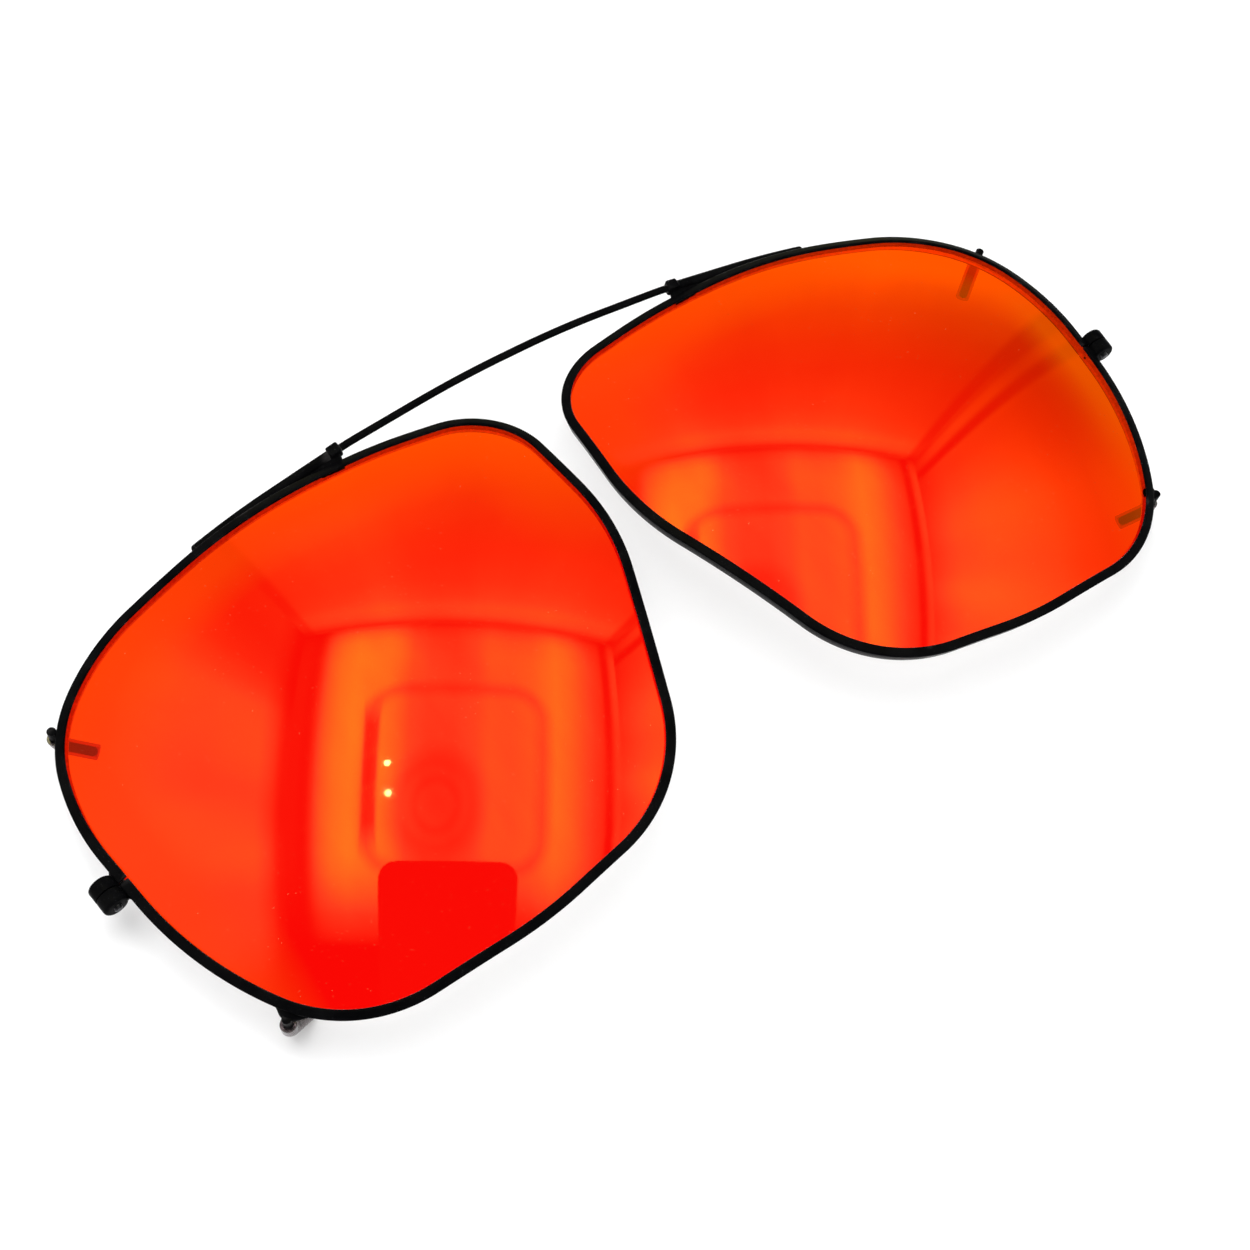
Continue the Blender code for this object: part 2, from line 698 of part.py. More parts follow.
# ---------------------------------------------------------------- prongs
def prong_shape(spec):
    """Centre line of a prong: straight down past the back of the rim, a bend, then
    a hook that slopes inwards. The sleeve's end edge touches Z = 0."""
    slope = math.radians(spec["slope"])
    top = design_point(*spec["top"], spec["top_z"])
    tip = design_point(*spec["tip"], 0)
    tip.z = (math.sin(slope) * SLEEVE_PAST_TIP + math.cos(slope) * SLEEVE_FLAT) * MM
    flat = Vector((top.x - tip.x, top.y - tip.y))
    corner = Vector((top.x, top.y, tip.z + flat.length * math.tan(slope)))
    down = Vector((0, 0, -1))
    hook = (tip - corner).normalized()
    angle = down.angle(hook)
    tangent = spec["bend"] * MM * math.tan(angle / 2)
    axis = down.cross(hook).normalized()
    start = corner - down * tangent
    return SimpleNamespace(
        top=top, tip=tip, down=down, hook=hook, axis=axis, angle=angle,
        bend_start=start, bend_end=corner + hook * tangent,
        bend_centre=start + axis.cross(down) * spec["bend"] * MM)


def make_prong(name, spec):
    shape = prong_shape(spec)
    points = [shape.top + shape.down * distance * MM for distance, _ in PRONG_TOP]
    for i in range(PRONG_BEND_STEPS + 1):
        turn = Matrix.Rotation(shape.angle * i / PRONG_BEND_STEPS, 4, shape.axis)
        points.append(shape.bend_centre + turn @ (shape.bend_start - shape.bend_centre))
    points.append(shape.tip)
    scales = [scale for _, scale in PRONG_TOP]
    scales += [1.0] * (len(points) - len(scales))
    return wire(name, points, PRONG_RADIUS, black_paint(name), right_unit, scales)


def only(kind, elements):
    return [element for element in elements if isinstance(element, kind)]


def draw(bm, faces, vector):
    """Extrude the faces along the vector and return the new end faces."""
    made = bmesh.ops.extrude_face_region(bm, geom=faces)["geom"]
    bmesh.ops.translate(bm, vec=vector, verts=only(bmesh.types.BMVert, made))
    return only(bmesh.types.BMFace, made)


def make_sleeve(name, spec):
    """Soft tube over the hook: a ring section drawn down the leg, spun round the
    bend and drawn on past the end of the hook."""
    shape = prong_shape(spec)
    begin = Vector((shape.top.x, shape.top.y, (spec["sleeve_z"] + DATUM_Z) * MM))
    section = (frame(begin, shape.down, shape.axis.cross(shape.down))
               @ Matrix.Rotation(math.pi / 2, 4, "Y"))
    bm = bmesh.new()
    rings = []
    for radius in (SLEEVE_FLAT / math.cos(math.pi / SLEEVE_SIDES), SLEEVE_BORE):
        ring = []
        for i in range(SLEEVE_SIDES):
            angle = 2 * math.pi * (i + 0.5) / SLEEVE_SIDES
            spoke = Vector((math.cos(angle), math.sin(angle), 0))
            ring.append(bm.verts.new(section @ (spoke * radius * MM)))
        rings.append(ring)
    outer, inner = rings
    faces = []
    for i in range(SLEEVE_SIDES):
        j = (i + 1) % SLEEVE_SIDES
        faces.append(bm.faces.new((outer[i], outer[j], inner[j], inner[i])))

    leg_end = draw(bm, faces, shape.bend_start - begin)
    geom = list({v for f in leg_end for v in f.verts})
    geom += list({e for f in leg_end for e in f.edges}) + leg_end
    spun = bmesh.ops.spin(bm, geom=geom, cent=shape.bend_centre, axis=shape.axis,
                          angle=shape.angle, steps=PRONG_BEND_STEPS)["geom_last"]
    bend_end = only(bmesh.types.BMFace, spun)
    draw(bm, bend_end, shape.tip + shape.hook * SLEEVE_PAST_TIP * MM - shape.bend_end)

    # cross walls that the spin and the last draw leave inside the sleeve
    leftover = [f for f in leg_end + bend_end if f.is_valid]
    if leftover:
        bmesh.ops.delete(bm, geom=leftover, context="FACES_ONLY")
    loose = [e for e in bm.edges if not e.link_faces]
    if loose:
        bmesh.ops.delete(bm, geom=loose, context="EDGES")
    bmesh.ops.recalc_face_normals(bm, faces=bm.faces)
    obj = add(name, mesh_from_bmesh(name, bm), sleeve_pvc(name), begin, right_unit)
    smooth(obj.data, 22)
    return obj


# ---------------------------------------------------------------- right lens unit
right_pieces = [
    make_rim(),
    make_lens(),
    make_block("right_closing_block_upper", 1),
    make_block("right_closing_block_lower", -1),
    make_screw(),
    make_collar(),
    make_tube(),
    make_plug(),
    make_spring(),
]
for prong_name, prong_spec in (("right_upper_prong", UPPER_PRONG),
                               ("right_lower_prong", LOWER_PRONG)):
    right_pieces.append(make_prong(prong_name, prong_spec))
    right_pieces.append(make_sleeve(prong_name + "_sleeve", prong_spec))


# ---------------------------------------------------------------- left lens unit
def make_left(piece):
    """Mirror image of a finished right piece, with its own copy of the material."""
    mat = piece.data.materials[0].copy()
    mat.name = mat.name.replace("right_", "left_").split(".")[0]
    mesh = evaluated_mesh(piece)
    mesh.transform(Matrix.Scale(-1, 4, (1, 0, 0)))
    mesh.flip_normals()
    add(piece.name.replace("right_", "left_"), mesh, mat,
        flip(piece.matrix_world.translation), left_unit)
    smooth(mesh, 30)


for right_piece in right_pieces:
    make_left(right_piece)
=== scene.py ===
"""Mirrored lenses in wire rims, joined by a bridge wire sprung into a tube on each rim.

X runs across the pair, with the right unit at +X and the left its mirror image.  Y runs
up the lens towards the brow.  Z runs from the back to the front of the lenses.  The part
lies on the floor z = 0 on its sleeved prongs, front up.  Dimensions are in mm in the
design's own origin; `at` moves them to the frame and turns them into metres.
"""
import math

import bmesh
import bpy
import numpy as np
from mathutils import Matrix, Vector


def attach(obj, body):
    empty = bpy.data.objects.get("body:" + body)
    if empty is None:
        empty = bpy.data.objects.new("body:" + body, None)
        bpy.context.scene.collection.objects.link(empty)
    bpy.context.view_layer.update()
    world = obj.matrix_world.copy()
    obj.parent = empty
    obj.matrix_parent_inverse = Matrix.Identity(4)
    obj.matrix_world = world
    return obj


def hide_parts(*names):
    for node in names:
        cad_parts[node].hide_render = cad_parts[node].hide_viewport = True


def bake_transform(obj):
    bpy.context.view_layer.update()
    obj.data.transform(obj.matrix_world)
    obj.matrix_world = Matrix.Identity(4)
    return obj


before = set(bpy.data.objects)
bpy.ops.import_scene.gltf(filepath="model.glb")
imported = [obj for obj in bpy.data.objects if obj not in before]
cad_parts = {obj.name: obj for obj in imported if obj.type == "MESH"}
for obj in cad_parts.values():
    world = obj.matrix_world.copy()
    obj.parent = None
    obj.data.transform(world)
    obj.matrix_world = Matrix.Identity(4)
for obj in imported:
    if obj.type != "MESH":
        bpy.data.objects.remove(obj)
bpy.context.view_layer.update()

MM = 0.001
TAU = 2 * math.pi

# ------------------------------------------------------------------ dimensions, mm
# x, y, corner radius; anticlockwise seen from the front, from the lens centre
LENS_CORNERS = (
    (29.5, 6.2, 26.0), (27.5, 15.5, 19.0), (20.0, 21.3, 25.0), (1.8, 25.6, 76.0),
    (-13.2, 25.7, 70.0), (-27.7, 24.5, 19.0), (-29.5, 5.1, 26.0), (-19.6, -22.4, 19.0),
    (-1.8, -25.7, 41.0), (17.6, -25.3, 19.0), (26.6, -11.7, 38.0),
)
BASE_CURVE_RADIUS = 85.5
LENS_APEX_V = -0.8
FACE_WRAP = 4.8  # degrees
LENS_CENTRE_X = 30.6
DATUM_Y = -0.767  # the design origin in the frame
DATUM_Z = 13.30

RIM_WIDTH = 1.0
RIM_DEPTH = 1.75
RIM_WALL = 0.32
RIM_SPLIT = 0.30
SPLIT_V = -1.4
LENS_INSET = 0.55
LENS_FRONT_DEPTH = 0.40
LENS_THICKNESS = 0.95

# bridge wire: an arc over the middle, then a straight leg each side past the knee
WIRE_RADIUS = 0.40
BOW_RADIUS = 71.5
BOW_HALF = 11.5
BOW_Y = 26.40
BOW_Z = -1.08
KNEE_X = 19.0
KNEE_Y = 26.55
LEG_DROP = 0.060  # fall in y and in z for each mm of x
LEG_BACK = 0.160
WIRE_END_X = 27.5

TUBE_RADIUS = 0.525
TUBE_WALL = 0.07
TUBE_START_X = 21.25
TUBE_BEND_X = 28.3
TUBE_END_U = 6.8
TUBE_STAND_OFF = 0.57
PLUG_SHANK = 0.9
PLUG_HEAD = 0.45
COLLAR_X = 20.55
COLLAR_LENGTH = 1.35
COLLAR_ABOVE = 0.62
COLLAR_BELOW = 0.57
COLLAR_DEPTH = 1.35
COLLAR_BORE = 0.46  # radius
SPRING_WIRE = 0.06  # radius of the wire
SPRING_RADIUS = 0.33
SPRING_PITCH = 0.32

BLOCK_RADIUS = 1.25
BLOCK_HALF = 1.40
BLOCK_GAP = 0.12
BLOCK_OUT = 1.32
BLOCK_FORWARD = 0.85
BLOCK_WEB = (-0.50, 0.78)  # back and front of the web
SCREW_SHANK = 0.42
SCREW_BORE = 0.50
SCREW_HEAD = 0.78
SCREW_HEAD_HEIGHT = 0.45
SCREW_TIP = 0.30

# foot and tip are x, y; top and sleeve are the heights where prong and sleeve start;
# slope is in degrees below level, bend is a radius
PRONG_RADIUS = 0.45
PRONGS = {
    "upper": {"foot": (56.90, 15.67), "tip": (54.25, 13.77),
              "top": -8.0, "slope": 22.0, "bend": 2.0, "sleeve": -9.7},
    "lower": {"foot": (51.78, -19.88), "tip": (49.88, -19.02),
              "top": -6.9, "slope": 43.0, "bend": 1.0, "sleeve": -8.9},
}
SLEEVE_RADIUS = 0.78
SLEEVE_BORE = 0.50
SLEEVE_PAST_TIP = 0.30


# ------------------------------------------------------------------ paths
def path_lengths(points):
    """Distance of each point along the path."""
    steps = np.linalg.norm(np.diff(points, axis=0), axis=1)
    return np.concatenate([[0.0], np.cumsum(steps)])


def sample(points, positions, wanted):
    """Points at the wanted positions, between points with the given positions."""
    columns = range(points.shape[1])
    return np.stack([np.interp(wanted, positions, points[:, j]) for j in columns], -1)


def smoothed(path, sigma):
    """Gaussian smoothing along evenly spaced points; the ends stay."""
    reach = int(4 * sigma)
    weights = np.exp(-0.5 * (np.arange(-reach, reach + 1) / sigma) ** 2)
    weights /= weights.sum()
    head = 2 * path[0] - path[reach:0:-1]
    tail = 2 * path[-1] - path[-2:-reach - 2:-1]
    full = np.concatenate([head, path, tail])
    return np.stack([np.convolve(full[:, j], weights, "valid") for j in range(3)], -1)


# ------------------------------------------------------------------ lens shape
def rounded_polygon(corners, step):
    """Polygon with round corners, drawn with a point at least every step of turn."""
    points = []
    for i, (x, y, radius) in enumerate(corners):
        corner = Vector((x, y))
        before = Vector(corners[i - 1][:2]) - corner
        after = Vector(corners[(i + 1) % len(corners)][:2]) - corner
        longest_trim = 0.495 * min(before.length, after.length)
        before.normalize()
        after.normalize()
        half = before.angle(after) / 2
        trim = min(radius / math.tan(half), longest_trim)
        fitted = trim * math.tan(half)
        centre = corner + (before + after).normalized() * (fitted / math.sin(half))
        start = corner + before * trim - centre
        end = corner + after * trim - centre
        start_angle = math.atan2(start.y, start.x)
        turn = (math.atan2(end.y, end.x) - start_angle + math.pi) % TAU - math.pi
        count = max(2, math.ceil(abs(turn) / step))
        for k in range(count + 1):
            angle = start_angle + turn * k / count
            points.append(centre + fitted * Vector((math.cos(angle), math.sin(angle))))
    return points


def outline_from_split():
    """The closed lens outline, starting and ending where the rim is split."""
    line = rounded_polygon(LENS_CORNERS, step=math.radians(0.3))
    count = len(line)
    for i in range(count):
        a, b = line[i], line[(i + 1) % count]
        if a.x > 0 and a.y < SPLIT_V <= b.y:
            start = a.lerp(b, (SPLIT_V - a.y) / (b.y - a.y))
            ring = [start] + [line[(i + 1 + k) % count] for k in range(count)] + [start]
            break
    return np.array([(p.x, p.y) for p in ring])


OUTLINE = outline_from_split()
OUTLINE_LENGTHS = path_lengths(OUTLINE)
OUTLINE_TOTAL = float(OUTLINE_LENGTHS[-1])


def outline_point(s):
    return sample(OUTLINE, OUTLINE_LENGTHS, np.mod(s, OUTLINE_TOTAL))


def outline_at(s):
    """Points and outward normals at distances s round the outline."""
    s = np.asarray(s, float)
    tangent = outline_point(s + 0.6) - outline_point(s - 0.6)
    tangent /= np.linalg.norm(tangent, axis=-1, keepdims=True)
    return outline_point(s), np.stack([tangent[..., 1], -tangent[..., 0]], -1)


def at(x, y, z):
    """Design mm to frame metres."""
    x, y, z = (np.asarray(value, float) for value in (x, y, z))
    return np.stack(np.broadcast_arrays(x, y + DATUM_Y, z + DATUM_Z), -1) * MM


def face_point(u, v, depth):
    """Point of the wrapped base curve, a depth behind its front surface."""
    w = v - LENS_APEX_V
    z = np.sqrt(BASE_CURVE_RADIUS ** 2 - u * u - w * w)
    shrink = 1.0 - depth / BASE_CURVE_RADIUS
    x = u * shrink
    y = w * shrink + LENS_APEX_V
    z = z * shrink - BASE_CURVE_RADIUS
    cosine, sine = math.cos(math.radians(FACE_WRAP)), math.sin(math.radians(FACE_WRAP))
    return at(x * cosine + z * sine + LENS_CENTRE_X, y, -x * sine + z * cosine)


def rim_point(s, inset, depth):
    """Point at distance s round the outline, an inset within it and a depth back."""
    point, normal = outline_at(s)
    point = point - normal * np.asarray(inset, float)[..., None]
    return face_point(point[..., 0], point[..., 1], depth)


def brow_station(u):
    """Distance round the outline of the brow point at u."""
    upper = np.where(OUTLINE[:, 1] > 0)[0]
    return float(OUTLINE_LENGTHS[upper[np.argmin(np.abs(OUTLINE[upper, 0] - u))]])


# ------------------------------------------------------------------ wire leg and tube lines
LEG = np.array([1.0, -LEG_DROP, -LEG_BACK])
LEG /= np.linalg.norm(LEG)
BOW_SAG = BOW_RADIUS - math.sqrt(BOW_RADIUS ** 2 - BOW_HALF ** 2)
KNEE_Z = BOW_Z - BOW_SAG - (KNEE_X - BOW_HALF) * LEG_BACK


def leg_point(x):
    past = np.asarray(x) - KNEE_X
    return at(x, KNEE_Y - past * LEG_DROP, KNEE_Z - past * LEG_BACK)


def tube_line(count=28):
    """Centre line of the spring tube, and the direction in which its outer end points."""
    def beside_rim(s):
        point, normal = outline_at(s)
        point = point + normal * TUBE_STAND_OFF
        return face_point(point[0], point[1], 0.45 * RIM_DEPTH)

    start = leg_point(TUBE_BEND_X)
    s = brow_station(TUBE_END_U)
    end = beside_rim(s)
    outward = end - beside_rim(s + 1.0)
    outward /= np.linalg.norm(outward)
    reach = np.linalg.norm(end - start) / 3
    pull_a, pull_b = start + LEG * reach, end - outward * reach
    t = np.linspace(0, 1, count + 1)[:, None]
    curve = (start * (1 - t) ** 3 + pull_a * 3 * t * (1 - t) ** 2
             + pull_b * 3 * t * t * (1 - t) + end * t ** 3)
    straight = leg_point(np.linspace(TUBE_START_X, TUBE_BEND_X, 9)[:-1])
    return np.concatenate([straight, curve]), outward


TUBE_PATH, TUBE_OUT = tube_line()


# ------------------------------------------------------------------ mesh helpers
def flip(points):
    points = np.array(points, float)
    points[..., 0] *= -1
    return points


def piece(name, mesh, material, sharp_angle, body=None, replaced=None, mirrored=False):
    """An object from (vertices, faces); mirrored makes the left side's copy."""
    verts, faces = mesh
    verts = np.asarray(verts, float)
    if mirrored:
        verts = flip(verts)
        faces = [tuple(reversed(face)) for face in faces]
    data = bpy.data.meshes.new(name)
    data.from_pydata(verts.tolist(), [], faces)
    data.update()
    data.materials.append(material)
    data.shade_smooth()
    data.set_sharp_from_angle(angle=math.radians(sharp_angle))
    made = bpy.data.objects.new(name, data)
    bpy.context.scene.collection.objects.link(made)
    if body:
        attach(made, body)
    if replaced:
        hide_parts(replaced)
    return made


SIDES = (("right", False), ("left", True))


def pair(part, mesh, material, sharp_angle=40, replaces=True):
    """Right and left copies; they take the place of the CAD part unless told not to."""
    made = []
    for side, mirrored in SIDES:
        name = f"{side}_{part}"
        made.append(piece(name + "_fine" if replaces else name, mesh, material,
                          sharp_angle, body=side + "_lens_unit",
                          replaced=name if replaces else None, mirrored=mirrored))
    return made


def bands(count, sides):
    """Quads joining count + 1 rings of vertices, each with the given number of sides."""
    return [(k * sides + i, k * sides + (i + 1) % sides,
             (k + 1) * sides + (i + 1) % sides, (k + 1) * sides + i)
            for k in range(count) for i in range(sides)]


def normals_along(path):
    """Two normals at each point of a path, carried without twist."""
    tangents = np.gradient(path, axis=0)
    tangents /= np.linalg.norm(tangents, axis=1, keepdims=True)
    normal = np.array([0.0, 0.0, 1.0])
    if abs(normal @ tangents[0]) > 0.9:
        normal = np.array([0.0, 1.0, 0.0])
    normals = []
    for tangent in tangents:
        normal = normal - tangent * (normal @ tangent)
        normal /= np.linalg.norm(normal)
        normals.append(normal.copy())
    normals = np.array(normals)
    return normals, np.cross(tangents, normals)


def rod(path, radii, sides, cap=True, squash=1.0):
    """Round sweep; radii in mm, one for all or one for each point."""
    path = np.asarray(path, float)
    last = len(path) - 1
    first_normal, second_normal = normals_along(path)
    angles = (np.arange(sides) * TAU / sides)[None, :, None]
    radii = np.broadcast_to(np.asarray(radii, float), (len(path),)) * MM
    verts = path[:, None] + radii[:, None, None] * (
        np.cos(angles) * first_normal[:, None]
        + squash * np.sin(angles) * second_normal[:, None])
    verts = verts.reshape(-1, 3).tolist()
    faces = bands(last, sides)
    if cap:
        for k, flipped in ((0, True), (last, False)):
            verts.append(path[k].tolist())
            centre = len(verts) - 1
            for i in range(sides):
                face = (k * sides + i, k * sides + (i + 1) % sides, centre)
                faces.append(tuple(reversed(face)) if flipped else face)
    return np.array(verts), faces


def round_ends(path, radius, steps):
    """Adds hemispherical ends to a path: returns path and radii (mm)."""
    path = np.asarray(path, float)
    angles = np.linspace(0, math.pi / 2, steps + 1)[1:]
    caps = []
    for end, inner in ((path[0], path[1]), (path[-1], path[-2])):
        outward = end - inner
        outward /= np.linalg.norm(outward)
        caps.append(np.array([end + outward * radius * MM * math.sin(a) for a in angles]))
    cap_radii = np.maximum(radius * np.cos(angles), 0.01)
    radii = np.concatenate([cap_radii[::-1], np.full(len(path), radius, float), cap_radii])
    return np.concatenate([caps[0][::-1], path, caps[1]]), radii


def pipe(path, outer, inner, sides):
    """Open-bored sweep; outer and inner radii in mm, one for all or for each point."""
    outer_verts, outer_faces = rod(path, outer, sides, cap=False)
    inner_verts, inner_faces = rod(path, inner, sides, cap=False)
    shift = len(outer_verts)
    faces = outer_faces + [tuple(shift + i for i in reversed(f)) for f in inner_faces]
    end = (len(path) - 1) * sides
    for i in range(sides):
        j = (i + 1) % sides
        faces.append((j, i, shift + i, shift + j))
        faces.append((end + i, end + j, shift + end + j, shift + end + i))
    return np.concatenate([outer_verts, inner_verts]), faces


def lathe(profile, sides, matrix):
    """Profile of (radius, height) in mm from one end to the other, on the matrix's Z."""
    verts, faces, rows = [], [], []
    for radius, z in profile:
        if radius < 1e-6:
            rows.append([len(verts)])
            verts.append((0, 0, z * MM))
        else:
            rows.append(list(range(len(verts), len(verts) + sides)))
            for i in range(sides):
                angle = TAU * i / sides
                verts.append((radius * MM * math.cos(angle),
                              radius * MM * math.sin(angle), z * MM))
    for row, following in zip(rows, rows[1:]):
        for i in range(sides):
            j = (i + 1) % sides
            if len(row) == 1:
                faces.append((row[0], following[i], following[j]))
            elif len(following) == 1:
                faces.append((row[i], following[0], row[j]))
            else:
                faces.append((row[i], following[i], following[j], row[j]))
    return np.array([tuple(matrix @ Vector(vert)) for vert in verts]), faces


def basis(origin, x, y):
    """Matrix with its X along x and its Y near y."""
    x = Vector(x).normalized()
    z = x.cross(Vector(y)).normalized()
    y = z.cross(x)
    return Matrix.Translation(Vector(origin)) @ Matrix((x, y, z)).transposed().to_4x4()


def mesh_from(bm):
    data = bpy.data.meshes.new("temporary")
    bm.to_mesh(data)
    bm.free()
    return data


def object_from(bm):
    made = bpy.data.objects.new("temporary", mesh_from(bm))
    bpy.context.scene.collection.objects.link(made)
    return made


def mesh_arrays(data):
    verts = np.array([tuple(vert.co) for vert in data.vertices])
    return verts, [tuple(face.vertices) for face in data.polygons]


def facing_outward(verts, faces):
    """The same mesh with outward faces, and faces of more than four sides cut up."""
    bm = bmesh.new()
    made = [bm.verts.new(vert) for vert in verts]
    for face in faces:
        bm.faces.new([made[i] for i in face])
    bmesh.ops.recalc_face_normals(bm, faces=bm.faces)
    many_sided = [face for face in bm.faces if len(face.verts) > 4]
    if many_sided:
        bmesh.ops.triangulate(bm, faces=many_sided)
    return mesh_arrays(mesh_from(bm))


def is_sharp(edge):
    return edge.calc_face_angle(0) > 0.6


def bevel(bm, edges, offset, segments):
    bmesh.ops.bevel(bm, geom=edges, offset=offset, segments=segments, profile=0.5,
                    affect="EDGES")


def solid(build, matrix, rounding=0.0, segments=0):
    """A temporary object built in mm, its sharp edges rounded, moved by matrix."""
    bm = bmesh.new()
    build(bm)
    if rounding:
        bevel(bm, [edge for edge in bm.edges if is_sharp(edge)], rounding, segments)
    bmesh.ops.recalc_face_normals(bm, faces=bm.faces)
    bmesh.ops.transform(bm, matrix=matrix @ Matrix.Scale(MM, 4), verts=bm.verts)
    return object_from(bm)


def combined(base, tools):
    """Mesh arrays of base after UNION or DIFFERENCE with each tool; removes them all."""
    for operation, tool in tools:
        modifier = base.modifiers.new("b", "BOOLEAN")
        modifier.operation = operation
        modifier.solver = "EXACT"
        modifier.object = tool
    bpy.context.view_layer.update()
    graph = bpy.context.evaluated_depsgraph_get()
    data = bpy.data.meshes.new_from_object(base.evaluated_get(graph), depsgraph=graph)
    for used in [base] + [tool for _, tool in tools]:
        bpy.data.objects.remove(used, do_unlink=True)
    return mesh_arrays(data)


def cylinder(radius, depth, segments, place):
    def build(bm):
        bmesh.ops.create_cone(bm, cap_ends=True, segments=segments, radius1=radius,
                              radius2=radius, depth=depth, matrix=place)
    return build


def box(size, centre):
    def build(bm):
        place = Matrix.Translation(centre) @ Matrix.Diagonal((*size, 1.0))
        bmesh.ops.create_cube(bm, size=1.0, matrix=place)
    return build


# ------------------------------------------------------------------ shader helpers
NOISE_SPAN = (0.3, 0.7)  # where most of the noise lies


def add_node(tree, kind, inputs=(), **settings):
    """A node with its settings, and inputs given as numbers, colours, sockets or nodes."""
    made = tree.nodes.new("ShaderNode" + kind)
    for key, value in settings.items():
        setattr(made, key, value)
    for key, value in dict(inputs).items():
        socket = made.inputs[key]
        if isinstance(value, bpy.types.Node):
            value = value.outputs[0]
        if isinstance(value, bpy.types.NodeSocket):
            tree.links.new(value, socket)
        elif socket.type == "RGBA":
            socket.default_value = (*value, 1)
        else:
            socket.default_value = value
    return made


class Shader:
    """A new material, with short calls for the nodes it is made of."""

    def __init__(self, name):
        self.material = bpy.data.materials.new(name)
        self.material.use_nodes = True
        self.tree = self.material.node_tree
        self.tree.nodes.clear()
        self.coord = self.node("TexCoord").outputs["Object"]

    def node(self, kind, inputs=(), **settings):
        return add_node(self.tree, kind, inputs, **settings)

    def noise(self, scale, detail=3.0, roughness=0.55, coord=None):
        return self.node("TexNoise", {
            "Scale": scale, "Detail": detail, "Roughness": roughness,
            "Vector": self.coord if coord is None else coord}).outputs["Fac"]

    def mapping(self, rotation, scale):
        return self.node("Mapping", {"Rotation": rotation, "Scale": scale,
                                     "Vector": self.coord}).outputs[0]

    def ramp(self, source, stops):
        """Colours blended between (position, colour) stops."""
        made = self.node("ValToRGB", {"Fac": source})
        elements = made.color_ramp.elements
        for element, (position, colour) in ((elements[0], stops[0]), (elements[1], stops[-1])):
            element.position = position
            element.color = (*colour, 1)
        for position, colour in stops[1:-1]:
            elements.new(position).color = (*colour, 1)
        return made.outputs["Color"]

    def two_tone(self, source, low, high):
        return self.ramp(source, [(NOISE_SPAN[0], low), (NOISE_SPAN[1], high)])

    def remap(self, source, within=NOISE_SPAN, to=(0.0, 1.0)):
        return self.node("MapRange", {
            "From Min": within[0], "From Max": within[1], "To Min": to[0], "To Max": to[1],
            "Value": source}).outputs["Result"]

    def calc(self, operation, *operands):
        return self.node("Math", enumerate(operands), operation=operation).outputs[0]

    def times(self, a, b):
        return self.calc("MULTIPLY", a, b)

    def plus(self, a, b):
        return self.calc("ADD", a, b)

    def mix(self, amount, a, b, blend_type="MIX"):
        return self.node("Mix", {0: amount, 6: a, 7: b}, data_type="RGBA",
                         blend_type=blend_type).outputs[2]

    def bump(self, height, strength, distance):
        return self.node("Bump", {"Strength": strength, "Distance": distance,
                                  "Height": height}).outputs["Normal"]

    def mix_shaders(self, amount, a, b):
        return self.node("MixShader", {0: amount, 1: a, 2: b})

    def add_shaders(self, a, b):
        return self.node("AddShader", {0: a, 1: b})

    def finish(self, surface):
        self.node("OutputMaterial", {"Surface": surface})
        return self.material


# ------------------------------------------------------------------ materials
def lacquer(name, roughness, wear=0.5, peel=0.35):
    """Black lacquer on metal: orange-peel, uneven gloss, dust, thin wear on edges."""
    shader = Shader(name)
    patch = shader.noise(scale=420.0, detail=4.0)
    fine = shader.noise(scale=2600.0, detail=2.0)
    speck = shader.noise(scale=7000.0, detail=1.0)
    black = shader.two_tone(patch, low=(0.0012, 0.0012, 0.0015), high=(0.0034, 0.0034, 0.0038))
    pointiness = shader.node("NewGeometry").outputs["Pointiness"]
    worn = shader.times(shader.remap(pointiness, within=(0.53, 0.60)),
                        shader.remap(patch, within=(0.50, 0.66), to=(0.0, wear)))
    dust = shader.times(shader.remap(speck, within=(0.70, 0.76), to=(0.0, 0.35)),
                        shader.remap(patch, within=(0.4, 0.6), to=(0.2, 1.0)))
    colour = shader.mix(worn, black, (0.035, 0.033, 0.033))
    return shader.finish(shader.node("BsdfPrincipled", {
        "Base Color": shader.mix(dust, colour, (0.05, 0.05, 0.055)),
        "Roughness": shader.remap(patch, to=roughness),
        "Specular IOR Level": 0.012,
        "Normal": shader.bump(fine, strength=peel, distance=0.000012)}))


def steel(name, colour, roughness):
    shader = Shader(name)
    patch = shader.noise(scale=900.0, detail=4.0)
    fine = shader.noise(scale=5200.0, detail=2.0)
    dark = tuple(0.6 * channel for channel in colour)
    return shader.finish(shader.node("BsdfPrincipled", {
        "Base Color": shader.two_tone(patch, low=dark, high=colour),
        "Metallic": 1.0,
        "Roughness": shader.remap(patch, to=(roughness - 0.08, roughness + 0.12)),
        "Normal": shader.bump(fine, strength=0.4, distance=0.00001)}))


